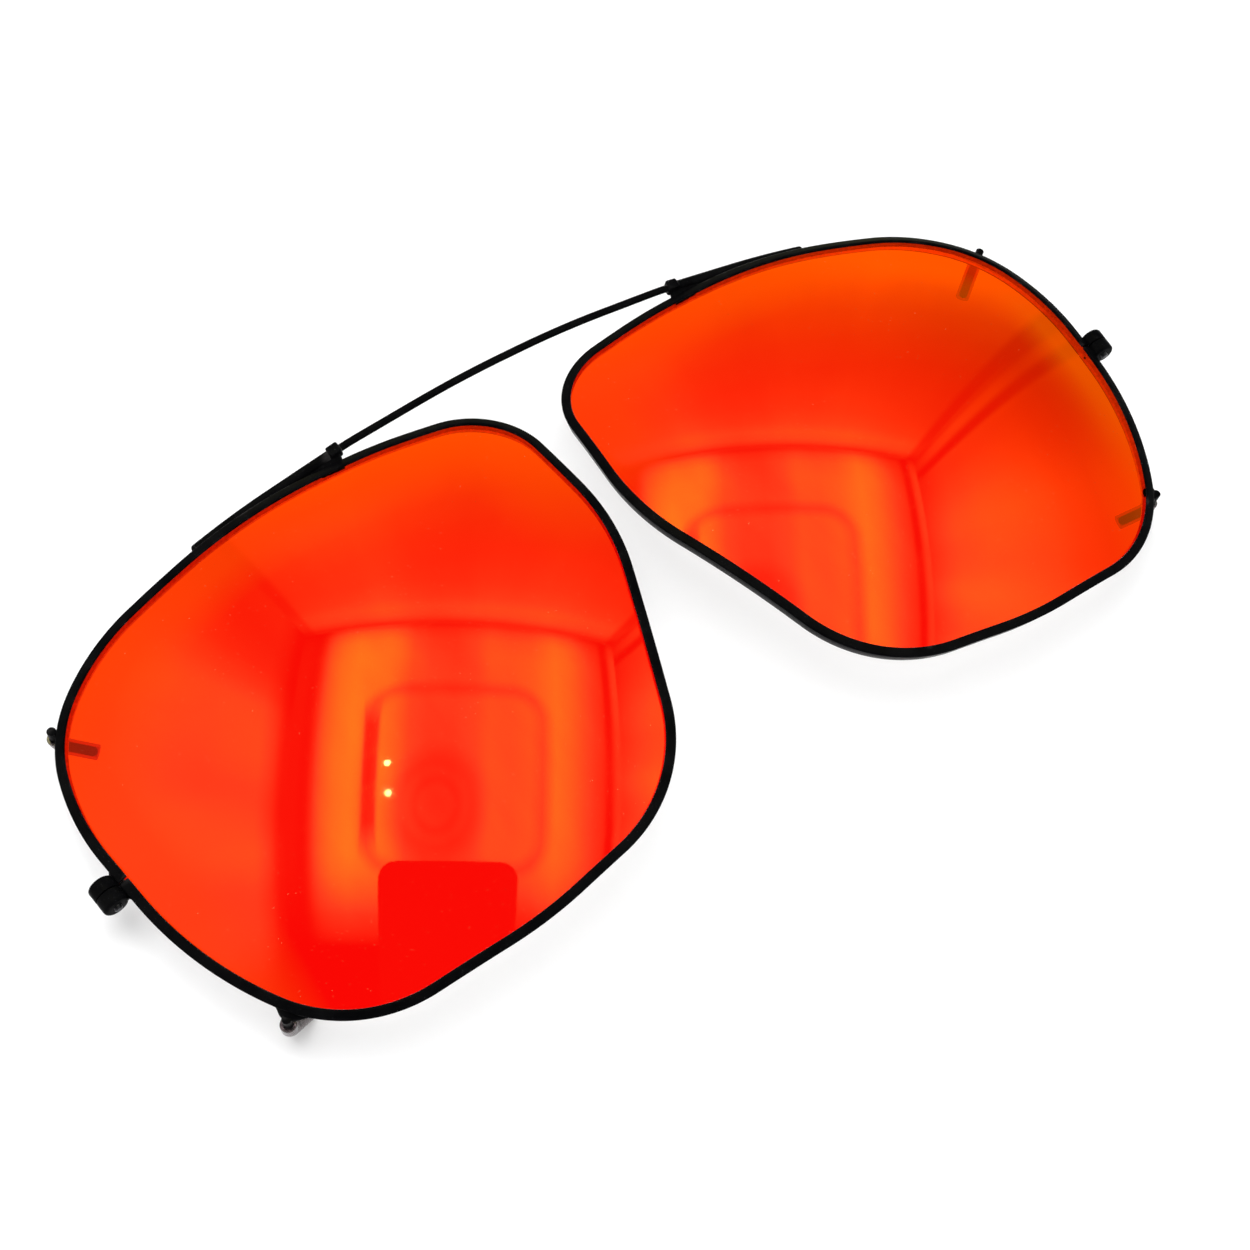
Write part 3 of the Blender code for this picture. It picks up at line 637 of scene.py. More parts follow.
def clear_pvc(name):
    """Soft clear tubing: see-through, wavy gloss, slightly milky and pink in the wall."""
    shader = Shader(name)
    patch = shader.noise(scale=350.0)
    normal = shader.bump(shader.noise(scale=900.0, detail=2.0), strength=0.5, distance=0.00004)
    facing = shader.node("LayerWeight", {"Blend": 0.35}).outputs["Facing"]
    see = shader.node("BsdfTransparent", {
        "Color": shader.mix(facing, (0.48, 0.43, 0.44), (0.16, 0.11, 0.12))})
    gloss = shader.node("BsdfGlossy", {
        "Color": (1, 1, 1), "Roughness": shader.remap(patch, to=(0.08, 0.2)),
        "Normal": normal})
    milk = shader.node("BsdfDiffuse", {
        "Color": shader.two_tone(patch, low=(0.62, 0.50, 0.50), high=(0.80, 0.72, 0.71))})
    fresnel = shader.node("Fresnel", {"IOR": 1.52, "Normal": normal})
    wall = shader.mix_shaders(fresnel, shader.mix_shaders(0.06, see, milk), gloss)
    # painted light: behind a lens the tubing gets a painted red glow and a dimmer tint, for
    # the deep red light that comes through the lens
    path = shader.node("LightPath")
    behind = shader.times(path.outputs["Is Camera Ray"],
                          shader.calc("GREATER_THAN", path.outputs["Transparent Depth"], 1.5))
    red = shader.node("Emission", {
        "Color": shader.two_tone(patch, low=(0.07, 0.001, 0.003), high=(0.11, 0.002, 0.006))})
    dim = shader.node("BsdfTransparent", {"Color": (0.68, 0.42, 0.45)})
    return shader.finish(shader.mix_shaders(behind, wall, shader.add_shaders(red, dim)))


def front_face_seen(shader, camera_ray):
    """1 where the camera looks at the outer side of a face, otherwise 0."""
    backfacing = shader.node("NewGeometry").outputs["Backfacing"]
    return shader.times(camera_ray, shader.calc("SUBTRACT", 1.0, backfacing))


# (how far the surface turns from the viewer, colour)
MIRROR_TINT = [
    (0.03, (0.16, 0.042, 0.0115)), (0.15, (0.17, 0.046, 0.0100)),
    (0.24, (0.20, 0.050, 0.0045)), (0.32, (0.27, 0.048, 0.0010)),
    (0.42, (0.34, 0.048, 0.0)), (0.60, (0.42, 0.058, 0.0)), (1.0, (0.75, 0.30, 0.02))]
THROUGH_TINT = [
    (0.05, (0.975, 0.005, 0.003)), (0.22, (0.95, 0.007, 0.002)),
    (0.30, (0.84, 0.012, 0.001)), (0.36, (0.74, 0.018, 0.0)), (0.42, (0.64, 0.022, 0.0)),
    (0.48, (0.58, 0.026, 0.0)), (0.8, (0.45, 0.03, 0.0)), (1.0, (0.25, 0.02, 0.0))]
# painted light: amber added to the see-through colour near the outline of each lens, for paper
# lit past the lens's edge
PAINTED_MARGIN_AMBER = [
    (0.05, (0.0, 0.070, 0.0)), (0.30, (0.05, 0.070, 0.0)), (0.38, (0.11, 0.095, 0.0)),
    (0.50, (0.14, 0.130, 0.0)), (0.8, (0.08, 0.07, 0.0))]


def lens_margin(shader):
    """1 near the outline, along the brow and the outer end of each lens."""
    radial = shader.node("Attribute", attribute_name="radial").outputs["Fac"]
    place = shader.node("SeparateXYZ", {0: shader.coord})
    brow = shader.remap(place.outputs["Y"], within=(0.002, 0.011))
    outer_end = shader.remap(shader.calc("ABSOLUTE", place.outputs["X"]),
                             within=(0.048, 0.054))
    return shader.times(shader.remap(radial, within=(0.68, 0.86)),
                        shader.calc("MAXIMUM", brow, outer_end))


def mirror_lens(name):
    """Gold-orange mirror coating on a deep red lens: the two colours add up to rose
    red where the room is dim and to amber where it is bright or seen at a low angle.
    Fine dust and faint wipe marks. Light that only passes through is dimmed evenly."""
    shader = Shader(name)
    camera_ray = shader.node("LightPath").outputs["Is Camera Ray"]
    facing = shader.node("LayerWeight", {"Blend": 0.5}).outputs["Facing"]
    margin = lens_margin(shader)
    smear = shader.noise(scale=90.0, detail=5.0, roughness=0.6)
    streaks = shader.mapping(rotation=(0, 0, 0.6), scale=(40.0, 900.0, 300.0))
    wipe = shader.noise(scale=1.0, detail=3.0, roughness=0.5, coord=streaks)
    dust = shader.noise(scale=3800.0, detail=1.0)

    smeared = shader.mix(shader.remap(smear, within=(0.35, 0.65), to=(0.0, 0.10)),
                         shader.ramp(facing, MIRROR_TINT), (0.25, 0.056, 0.008))
    roughness = shader.plus(shader.remap(smear, within=(0.4, 0.7), to=(0.02, 0.06)),
                            shader.remap(wipe, within=(0.55, 0.75), to=(0.0, 0.03)))
    # near the outline the reflection is painted weaker, most in green, alongside the painted
    # amber there
    gloss = shader.node("BsdfGlossy", {
        "Color": shader.mix(margin, smeared, (0.65, 0.22, 0.7), blend_type="MULTIPLY"),
        "Roughness": roughness,
        "Normal": shader.bump(wipe, strength=0.05, distance=0.000004)}, distribution="GGX")

    # painted light: towards the outline the see-through colour is painted more amber, for the
    # paper seen through the lens that is lit past its edge
    amber = shader.mix(margin, shader.ramp(facing, THROUGH_TINT),
                       shader.ramp(facing, PAINTED_MARGIN_AMBER), blend_type="ADD")
    see = shader.node("BsdfTransparent", {
        "Color": shader.mix(camera_ray, (0.70, 0.695, 0.69), amber)})
    grit = shader.node("BsdfDiffuse", {"Color": (0.8, 0.25, 0.10)})
    grit_amount = shader.times(shader.remap(dust, within=(0.74, 0.79), to=(0.0, 0.30)),
                               shader.remap(smear, within=(0.4, 0.6), to=(0.1, 1.0)))
    coated = shader.mix_shaders(grit_amount, shader.add_shaders(gloss, see), grit)
    # the mirror shows from outside only; from within there is just the tint
    return shader.finish(shader.mix_shaders(front_face_seen(shader, camera_ray), see, coated))


def lens_back(name):
    """Back of the lens: the same red tint under a plain hard-coat gloss."""
    shader = Shader(name)
    camera_ray = shader.node("LightPath").outputs["Is Camera Ray"]
    smear = shader.noise(scale=120.0, detail=4.0)
    see = shader.node("BsdfTransparent", {
        "Color": shader.mix(camera_ray, (1, 1, 1), (0.985, 0.50, 0.40))})
    gloss = shader.node("BsdfGlossy", {"Color": (0.9, 0.55, 0.45),
                                       "Roughness": shader.remap(smear, to=(0.02, 0.07))})
    fresnel = shader.node("Fresnel", {"IOR": 1.5})
    amount = shader.times(fresnel, front_face_seen(shader, camera_ray))
    return shader.finish(shader.mix_shaders(amount, see, gloss))


def lens_edge(name):
    """Ground bevel of the lens, inside the groove: frosted, carrying the red of the lens, with
    a painted red glow.
    """
    shader = Shader(name)
    grain = shader.noise(scale=2400.0)
    colour = shader.two_tone(grain, low=(0.42, 0.045, 0.012), high=(0.60, 0.075, 0.018))
    # painted light: the edge glows in its own colour, as if lit by the light that passes
    # through the lens
    return shader.finish(shader.node("BsdfPrincipled", {
        "Base Color": colour, "Roughness": 0.6,
        "Emission Color": colour, "Emission Strength": 0.55,
        "Normal": shader.bump(grain, strength=0.3, distance=0.00001)}))


RIM_PAINT = lacquer("rim_lacquer", roughness=(0.16, 0.30))
WIRE_PAINT = lacquer("wire_lacquer", roughness=(0.18, 0.32))
PART_PAINT = lacquer("fitting_lacquer", roughness=(0.20, 0.36), wear=0.8, peel=0.5)
SOLDER_PAINT = lacquer("solder_lacquer", roughness=(0.22, 0.40), wear=0.2, peel=0.9)
SCREW_STEEL = steel("black_steel", colour=(0.06, 0.06, 0.065), roughness=0.30)
SPRING_STEEL = steel("spring_steel", colour=(0.62, 0.62, 0.64), roughness=0.26)
CLEAR_TUBING = clear_pvc("clear_tubing")
LENS_FRONT = mirror_lens("mirror_coating")
LENS_BACK = lens_back("tinted_back")
LENS_EDGE = lens_edge("ground_edge")


# ------------------------------------------------------------------ eyewire
def rim_profile():
    """Section of the U channel: (inset from the outer face, depth from the front)."""
    front = RIM_WIDTH - 0.08
    lip = 0.42
    back = LENS_FRONT_DEPTH + LENS_THICKNESS + 0.01
    front_round, back_round = 0.13, 0.16
    quarter = [math.pi / 2 * k / 5 for k in range(6)]
    points = [(front, 0.07), (front - 0.02, 0.02), (front - 0.07, 0.0),
              (0.60, -0.004), (0.30, -0.002)]
    points += [(front_round - front_round * math.sin(angle),
                front_round - front_round * math.cos(angle)) for angle in quarter]
    points += [(back_round - back_round * math.cos(angle),
                RIM_DEPTH - 0.12 - back_round + back_round * math.sin(angle))
               for angle in quarter]
    points += [(0.23, RIM_DEPTH - 0.15), (lip - 0.06, back + 0.17),
               (lip - 0.02, back + 0.11), (lip, back + 0.06), (lip, back + 0.02),
               (lip - 0.02, back), (RIM_WALL + 0.04, back),
               (RIM_WALL, back - 0.04), (RIM_WALL, RIM_WALL + 0.04),
               (RIM_WALL + 0.04, RIM_WALL), (front - 0.06, RIM_WALL),
               (front, RIM_WALL - 0.06)]
    return np.array(points)


def eyewire(count=420):
    """The channel swept round the lens shape; split at the block."""
    profile = rim_profile()
    sides = len(profile)
    s = RIM_SPLIT / 2 + (OUTLINE_TOTAL - RIM_SPLIT) * np.linspace(0, 1, count + 1)
    verts = rim_point(s[:, None], profile[:, 0], profile[:, 1]).reshape(-1, 3)
    faces = bands(count, sides)
    faces.append(tuple(range(sides)))
    faces.append(tuple(count * sides + j for j in reversed(range(sides))))
    return facing_outward(verts, faces)


pair("rim", eyewire(), RIM_PAINT, sharp_angle=30)

# ------------------------------------------------------------------ lens
LENS_SEGMENTS = 264
# ring sizes as shares of the outline, closer together near the edge
LENS_RINGS = np.concatenate([np.linspace(0.03, 0.93, 34), np.linspace(0.945, 1.0, 7)])
BEVEL_RINGS = 2


def lens_mesh():
    """Front surface, V-shaped edge and back surface, ring after ring from the middle."""
    s = np.arange(LENS_SEGMENTS) * OUTLINE_TOTAL / LENS_SEGMENTS
    point, normal = outline_at(s)
    edge = point - normal * LENS_INSET
    ridge = point - normal * (LENS_INSET - 0.15)
    back_depth = LENS_FRONT_DEPTH + LENS_THICKNESS
    middle = LENS_FRONT_DEPTH + LENS_THICKNESS / 2
    loops = [(edge * share, LENS_FRONT_DEPTH) for share in LENS_RINGS]
    loops += [(ridge, middle - 0.10), (ridge, middle + 0.10)]
    loops += [(edge * share, back_depth) for share in LENS_RINGS[::-1]]

    verts = [face_point(0.0, 0.0, LENS_FRONT_DEPTH)]
    rows = []
    for loop, depth in loops:
        rows.append(len(verts))
        verts += list(face_point(loop[:, 0], loop[:, 1], depth))
    verts.append(face_point(0.0, 0.0, back_depth))

    around = [(i, (i + 1) % LENS_SEGMENTS) for i in range(LENS_SEGMENTS)]
    faces = [(rows[0] + i, rows[0] + j, 0) for i, j in around]
    for row, following in zip(rows, rows[1:]):
        faces += [(following + i, following + j, row + j, row + i) for i, j in around]
    faces += [(rows[-1] + j, rows[-1] + i, len(verts) - 1) for i, j in around]
    return np.array(verts), faces


def finish_lens(lens):
    """Back and edge materials, and each vertex's share of the way to the outline."""
    lens.data.materials.append(LENS_BACK)
    lens.data.materials.append(LENS_EDGE)
    shares = np.concatenate([LENS_RINGS, [1.0] * BEVEL_RINGS, LENS_RINGS[::-1]])
    radial = np.concatenate([[0.0], np.repeat(shares, LENS_SEGMENTS), [0.0]])
    attribute = lens.data.attributes.new("radial", "FLOAT", "POINT")
    attribute.data.foreach_set("value", radial.astype(np.float32))
    front_end = len(LENS_RINGS) * LENS_SEGMENTS
    edge_end = front_end + (BEVEL_RINGS + 1) * LENS_SEGMENTS
    index = np.zeros(len(lens.data.polygons), np.int32)
    index[front_end:edge_end] = 2
    index[edge_end:] = 1
    lens.data.polygons.foreach_set("material_index", index)


for lens in pair("lens", lens_mesh(), LENS_FRONT, sharp_angle=25):
    finish_lens(lens)


# ------------------------------------------------------------------ bridge wire
def bridge_wire():
    end = WIRE_END_X - 0.15
    x = np.linspace(-end, end, 441)
    out = np.abs(x)
    y = np.where(out < KNEE_X, BOW_Y + (KNEE_Y - BOW_Y) * out / KNEE_X,
                 KNEE_Y - (out - KNEE_X) * LEG_DROP)
    bow = BOW_Z - BOW_RADIUS + np.sqrt(np.maximum(BOW_RADIUS ** 2 - out * out, 0))
    z = np.where(out < BOW_HALF, bow, BOW_Z - BOW_SAG - (out - BOW_HALF) * LEG_BACK)
    path, radii = round_ends(smoothed(at(x, y, z), sigma=5.0), WIRE_RADIUS - 0.005, steps=4)
    return rod(path, radii, sides=28)


unreflected = [piece("bridge_wire_fine", bridge_wire(), WIRE_PAINT,
                     sharp_angle=60, body="bridge", replaced="bridge_wire")]


# ------------------------------------------------------------------ spring tube, plug, collar
def tube_plug():
    """Domed head on the end of the tube, with a chamfered shank inside it."""
    seat = 0.02
    dome_base = 0.03
    shank = 0.38
    profile = [(0, PLUG_HEAD)]
    for k in range(1, 8):
        angle = math.pi / 2 * k / 7
        profile.append((TUBE_RADIUS * math.sin(angle),
                        dome_base + (PLUG_HEAD - dome_base) * math.cos(angle)))
    profile += [(TUBE_RADIUS, seat), (shank, seat), (shank, -PLUG_SHANK + 0.05),
                (shank - 0.05, -PLUG_SHANK), (0, -PLUG_SHANK)]
    turn = Vector(TUBE_OUT).to_track_quat("Z", "Y").to_matrix().to_4x4()
    return lathe(profile, 32, Matrix.Translation(Vector(TUBE_PATH[-1])) @ turn)


def bridge_collar():
    """Rounded block bored along the wire."""
    place = basis(leg_point(COLLAR_X), LEG, (0, 1, 0))
    block = solid(box((COLLAR_LENGTH, COLLAR_ABOVE + COLLAR_BELOW, COLLAR_DEPTH),
                      (0, (COLLAR_ABOVE - COLLAR_BELOW) / 2, 0)),
                  place, rounding=0.22, segments=5)
    along_x = Matrix.Rotation(math.pi / 2, 4, "Y")
    bore = solid(cylinder(COLLAR_BORE, 3.0, 48, along_x), place)
    return combined(block, [("DIFFERENCE", bore)])


unreflected += pair("spring_tube",
                    pipe(TUBE_PATH, TUBE_RADIUS, TUBE_RADIUS - TUBE_WALL, sides=32),
                    PART_PAINT)
unreflected += pair("tube_plug", tube_plug(), PART_PAINT)
unreflected += pair("bridge_collar", bridge_collar(), PART_PAINT,
                    sharp_angle=35)


# ------------------------------------------------------------------ springs
def spring_coil(points_per_turn=20):
    """Coil from the wire's end to the plug's shank, with the ends of its centre line."""
    beyond_wire = leg_point(np.array([WIRE_END_X + 0.1, WIRE_END_X + 0.45]))
    line = np.concatenate([beyond_wire, TUBE_PATH[9:-1]])
    end = TUBE_PATH[-1] - TUBE_OUT * (PLUG_SHANK + 0.12) * MM
    line = np.array([p for p in line if (p - end) @ TUBE_OUT < -0.05 * MM] + [end])
    lengths = path_lengths(line) / MM
    run = lengths[-1] - 2 * SPRING_WIRE
    turns = run / SPRING_PITCH
    count = int(turns * points_per_turn)
    steps = np.arange(count + 1)
    centre = sample(line, lengths, SPRING_WIRE + run * steps / count)
    tangent = smoothed(np.gradient(centre, axis=0), sigma=20)
    tangent /= np.linalg.norm(tangent, axis=1, keepdims=True)
    y = np.array([0.0, 1.0, 0.0]) - tangent * tangent[:, 1:2]
    y /= np.linalg.norm(y, axis=1, keepdims=True)
    z = np.cross(tangent, y)
    angle = (TAU * turns * steps / count)[:, None]
    coil = centre + (y * np.cos(angle) + z * np.sin(angle)) * SPRING_RADIUS * MM
    return coil, line[0], line[-1]


coil, coil_start, coil_end = spring_coil()
spring_mesh = rod(coil, SPRING_WIRE, sides=8)
for side, mirrored in SIDES:
    spring = piece(side + "_bridge_spring_fine", spring_mesh, SPRING_STEEL,
                   sharp_angle=60, replaced=side + "_bridge_spring", mirrored=mirrored)
    start, end = (flip(coil_start), flip(coil_end)) if mirrored else (coil_start, coil_end)
    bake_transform(spring)
    unreflected.append(spring)

# the bridge parts don't show in reflections
for part in unreflected:
    part.visible_glossy = False

# ------------------------------------------------------------------ closing block
# X out from the rim, Y along it; the barrel's Z runs along the rim
BLOCK = basis(rim_point(0.0, 0.0, RIM_DEPTH / 2),
              rim_point(0.0, -0.5, RIM_DEPTH / 2) - rim_point(0.0, 0.5, RIM_DEPTH / 2),
              rim_point(0.5, 0.0, RIM_DEPTH / 2) - rim_point(-0.5, 0.0, RIM_DEPTH / 2))
BARREL = (BLOCK @ Matrix.Translation((BLOCK_OUT * MM, 0, BLOCK_FORWARD * MM))
          @ Matrix.Rotation(-math.pi / 2, 4, "X"))
BLOCK_TOP = BLOCK_GAP / 2 + BLOCK_HALF


def closing_block(sign):
    """Half of the split barrel, with its web to the rim, rounded all over."""
    middle = sign * (BLOCK_GAP / 2 + BLOCK_HALF / 2)
    low, high = BLOCK_WEB
    at_middle = Matrix.Translation((0, 0, middle))

    def barrel(bm):
        cylinder(BLOCK_RADIUS, BLOCK_HALF, 72, at_middle)(bm)
        outer = [edge for edge in bm.edges if is_sharp(edge)
                 and all(vert.co.z * sign > abs(middle) for vert in edge.verts)]
        inner = [edge for edge in bm.edges if is_sharp(edge)
                 and all(vert.co.z * sign < abs(middle) for vert in edge.verts)]
        bevel(bm, outer, offset=0.34, segments=6)
        bevel(bm, [edge for edge in inner if edge.is_valid], offset=0.06, segments=3)

    body = solid(barrel, BARREL)
    web_size = (BLOCK_OUT - 0.06, BLOCK_HALF - 0.34, high - low)
    web_centre = ((BLOCK_OUT + 0.06) / 2, middle - sign * 0.16, (high + low) / 2)
    web = solid(box(web_size, web_centre), BLOCK, rounding=0.10, segments=4)
    bore = solid(cylinder(SCREW_BORE, BLOCK_HALF + 1.0, 40, at_middle), BARREL)
    tools = [("UNION", web), ("DIFFERENCE", bore)]
    if sign > 0:
        at_end = Matrix.Translation((0, 0, middle + BLOCK_HALF / 2))
        recess = cylinder(SCREW_HEAD + 0.09, 2 * SCREW_HEAD_HEIGHT, 48, at_end)
        tools.append(("DIFFERENCE", solid(recess, BARREL)))
    return combined(body, tools)


def closing_screw():
    """Domed, slotted head and a ridged shank, on the barrel's axis."""
    seat = BLOCK_TOP - SCREW_HEAD_HEIGHT + 0.05
    tail = -(BLOCK_TOP + SCREW_TIP)
    ridge_pitch, ridge_depth = 0.20, 0.06
    profile = [(0, BLOCK_TOP + 0.02), (0.40, BLOCK_TOP + 0.005),
               (SCREW_HEAD - 0.16, BLOCK_TOP - 0.03), (SCREW_HEAD - 0.05, BLOCK_TOP - 0.10),
               (SCREW_HEAD, BLOCK_TOP - 0.20), (SCREW_HEAD, seat), (SCREW_SHANK, seat)]
    z = seat - 0.1
    while z > tail + ridge_pitch:
        profile += [(SCREW_SHANK, z), (SCREW_SHANK - ridge_depth, z - 0.10)]
        z -= ridge_pitch
    profile += [(SCREW_SHANK - 0.02, tail + 0.14), (SCREW_SHANK - 0.16, tail), (0, tail)]
    verts, faces = lathe(profile, 40, BARREL)
    turned = bpy.data.meshes.new("temporary")
    turned.from_pydata(verts.tolist(), [], faces)
    bm = bmesh.new()
    bm.from_mesh(turned)
    bmesh.ops.recalc_face_normals(bm, faces=bm.faces)
    slot = box((0.2, 3.0, 0.44), (0, 0, BLOCK_TOP + 0.02))
    return combined(object_from(bm), [("DIFFERENCE", solid(slot, BARREL))])


for sign, word in ((1, "upper"), (-1, "lower")):
    pair("closing_block_" + word, closing_block(sign), PART_PAINT,
         sharp_angle=32)
pair("closing_screw", closing_screw(), SCREW_STEEL, sharp_angle=35)


# ------------------------------------------------------------------ prongs and sleeves
def prong_points(spec, past):
    """Down from the foot, round the bend, and along the hook to a length past its tip."""
    slope = math.radians(spec["slope"])
    foot = Vector(at(*spec["foot"], spec["top"]))
    tip = Vector(at(*spec["tip"], 0))
    # the sleeve's end just rests on the floor
    tip.z = (math.sin(slope) * SLEEVE_PAST_TIP + math.cos(slope) * SLEEVE_RADIUS) * MM
    level = Vector((foot.x - tip.x, foot.y - tip.y))
    corner = Vector((foot.x, foot.y, tip.z + level.length * math.tan(slope)))

    down, hook = Vector((0, 0, -1)), (tip - corner).normalized()
    angle = down.angle(hook)
    trim = spec["bend"] * MM * math.tan(angle / 2)
    axis = down.cross(hook).normalized()
    bend_start = corner - down * trim
    centre = bend_start + axis.cross(down) * spec["bend"] * MM
    points = [foot.lerp(bend_start, k / 12) for k in range(12)]
    for k in range(17):
        turn = Matrix.Rotation(angle * k / 16, 4, axis)
        points.append(centre + turn @ (bend_start - centre))
    bend_end = corner + hook * trim
    last = tip + hook * past * MM
    points += [bend_end.lerp(last, k / 12) for k in range(1, 13)]
    return np.array([tuple(point) for point in points])


def prong(spec):
    points = prong_points(spec, past=-0.25)
    points[0] = points[0] + np.array([0, 0, -0.30 * MM])
    path, radii = round_ends(points, PRONG_RADIUS, steps=6)
    return rod(path, radii, sides=28)


def prong_sleeve(spec):
    """Clear tube over the hook: slightly rippled, its cut ends eased."""
    points = prong_points(spec, past=SLEEVE_PAST_TIP)
    high = (spec["sleeve"] + DATUM_Z) * MM
    first = np.array([points[0][0], points[0][1], high])
    line = np.concatenate([first[None], points[points[:, 2] < high]])
    lengths = path_lengths(line)
    total = lengths[-1]
    spaced = np.concatenate([[0, 0.03 * MM],
                             np.linspace(0.08 * MM, total - 0.08 * MM, 46),
                             [total - 0.03 * MM, total]])
    path = sample(line, lengths, spaced)
    path[2:-2] = smoothed(path, sigma=1.2)[2:-2]
    steps = np.arange(len(spaced))
    ripple = 0.012 * np.sin(steps * 1.1) * np.minimum(1, steps / 5)
    outer = SLEEVE_RADIUS - 0.01 + np.minimum(ripple, 0.0)
    outer[[0, -1]] = SLEEVE_RADIUS - 0.06
    outer[[1, -2]] = SLEEVE_RADIUS - 0.025
    inner = np.full(len(spaced), SLEEVE_BORE)
    inner[[0, -1]] = SLEEVE_BORE + 0.04
    return pipe(path, outer, inner, sides=36)


for word, spec in PRONGS.items():
    pair(word + "_prong", prong(spec), PART_PAINT, sharp_angle=60)
    pair(word + "_prong_sleeve", prong_sleeve(spec), CLEAR_TUBING)


# ------------------------------------------------------------------ solder
def solder(name, mesh):
    pair(name, mesh, SOLDER_PAINT, sharp_angle=60, replaces=False)


def solder_web(line_a, line_b, radii, sides=20):
    """Solder drawn between two lines of points: a stadium section, radii in mm."""
    tangent = np.gradient((line_a + line_b) / 2, axis=0)
    tangent /= np.linalg.norm(tangent, axis=1, keepdims=True)
    across = line_b - line_a
    across -= tangent * (across * tangent).sum(1, keepdims=True)
    across /= np.linalg.norm(across, axis=1, keepdims=True)
    side = np.cross(tangent, across)
    angles = np.linspace(0, TAU, sides, endpoint=False) + TAU / sides / 2
    cosine, sine = np.cos(angles)[None, :, None], np.sin(angles)[None, :, None]
    rows = (np.where(cosine > 0, line_b[:, None], line_a[:, None])
            + (radii * MM)[:, None, None] * (cosine * across[:, None] + sine * side[:, None]))
    count = len(line_a)
    verts = rows.reshape(-1, 3).tolist() + [tuple(rows[0].mean(0)), tuple(rows[-1].mean(0))]
    faces = bands(count - 1, sides)
    for j in range(sides):
        k = (j + 1) % sides
        faces.append((count * sides, k, j))
        faces.append((count * sides + 1, (count - 1) * sides + j, (count - 1) * sides + k))
    return facing_outward(verts, faces)


def collar_solder(count=30):
    """Joins the collar and the inner end of the tube to the brow of the rim."""
    x = np.linspace(COLLAR_X - 0.45, COLLAR_X + 5.6, count)
    upper = np.where((x < TUBE_START_X)[:, None], leg_point(x),
                     sample(TUBE_PATH, TUBE_PATH[:, 0] / MM, x))
    s = np.linspace(brow_station(26.0) - 40, brow_station(-16.0) + 5, 4000)
    brow = rim_point(s, 0.12, RIM_DEPTH * 0.42)
    lower = np.array([brow[np.argmin(np.linalg.norm(brow - p, axis=1))] for p in upper])
    radii = (0.30 + 0.10 * np.cos(np.linspace(0, math.pi, count))
             + 0.02 * np.sin(np.arange(count) * 1.7))
    radii[[0, -1]] = (0.16, 0.12)
    return solder_web(upper, lower, radii)


def bead(peak, before, after, stand_off, depth, thickness, squash, seed, count=40):
    """Fillet along the rim's outer face, from before the peak to after it.

    peak is a distance round the outline, depth a share of the rim's; it is thickest
    and furthest out at the peak."""
    first, last = peak - before, peak + after
    s = np.linspace(first, last, count)
    swell = np.where(s < peak, (s - first) / (peak - first), (last - s) / (last - peak))
    swell = np.clip(swell, 0, 1)
    swell = swell * swell * (3 - 2 * swell)
    phase = np.random.default_rng(seed).uniform(0, TAU, 3)
    uneven = 1 + 0.05 * np.sin(s * 3.1 + phase[0]) + 0.04 * np.sin(s * 5.3 + phase[1])
    centre = rim_point(s, -(stand_off * swell) + 0.10, RIM_DEPTH * depth)
    thinnest = 0.03
    path, radii = round_ends(centre, thinnest, steps=2)
    radii[2:-2] = thinnest + thickness * swell * uneven
    return rod(path, radii, sides=24, squash=squash)


def nearest_station(x, y, z):
    """Distance round the outline of the rim point nearest to a design point."""
    s = np.linspace(0, OUTLINE_TOTAL, 3000)
    rim = rim_point(s, 0.0, RIM_DEPTH * 0.6)
    return float(s[np.argmin(np.linalg.norm(rim - at(x, y, z), axis=1))])


solder("collar_solder", collar_solder())
upper_foot = nearest_station(*PRONGS["upper"]["foot"], -8.4)
lower_foot = nearest_station(*PRONGS["lower"]["foot"], -7.6)
tube_end = brow_station(TUBE_END_U)
# name, peak, before, after, stand-off, depth, thickness, squash
BEADS = (
    ("upper_prong_solder", upper_foot, 1.1, 1.1, 0.10, 0.62, 0.30, 1.2),
    ("lower_prong_solder", lower_foot, 2.4, 2.0, 0.28, 0.55, 0.62, 1.1),
    ("block_solder_upper", 1.0, 0.78, 1.9, 0.26, 0.60, 0.46, 1.3),
    ("block_solder_lower", -0.75, 1.55, 0.53, 0.10, 0.62, 0.34, 1.5),
    ("tube_solder", tube_end + 0.4, 2.0, 8.1, 0.16, 0.45, 0.26, 1.6),
)
for seed, (name, *shape) in enumerate(BEADS, start=1):
    solder(name, bead(*shape, seed=seed))

# ------------------------------------------------------------------ light tent
# places in the tent are shares of its height: across to the right, deep away from the
# camera, and up
TENT_HEIGHT = 1.6
ACROSS = np.array([0.838, -0.545, 0.0])
DEEP = np.array([0.545, 0.838, 0.0])
UP = np.array([0.0, 0.0, 1.0])
TENT_LEFT, TENT_RIGHT = -0.49, 0.47
TENT_FAR, TENT_NEAR = 0.627, -1.0


def tent_point(across, deep, up):
    return tuple((ACROSS * across + DEEP * deep + UP * up) * TENT_HEIGHT)


def place_along(shader, axis):
    scaled = tuple(float(value) / TENT_HEIGHT for value in axis)
    made = shader.node("VectorMath", {0: shader.coord, 1: scaled}, operation="DOT_PRODUCT")
    return made.outputs["Value"]


def curve(shader, source, stops):
    """Brightness against position, from (position, value) stops."""
    low, high = stops[0][0], stops[-1][0]
    top = max(value for _, value in stops)
    unit = shader.remap(source, within=(low, high))
    greys = [((x - low) / (high - low), (value / top,) * 3) for x, value in stops]
    return shader.times(shader.ramp(unit, greys), top)


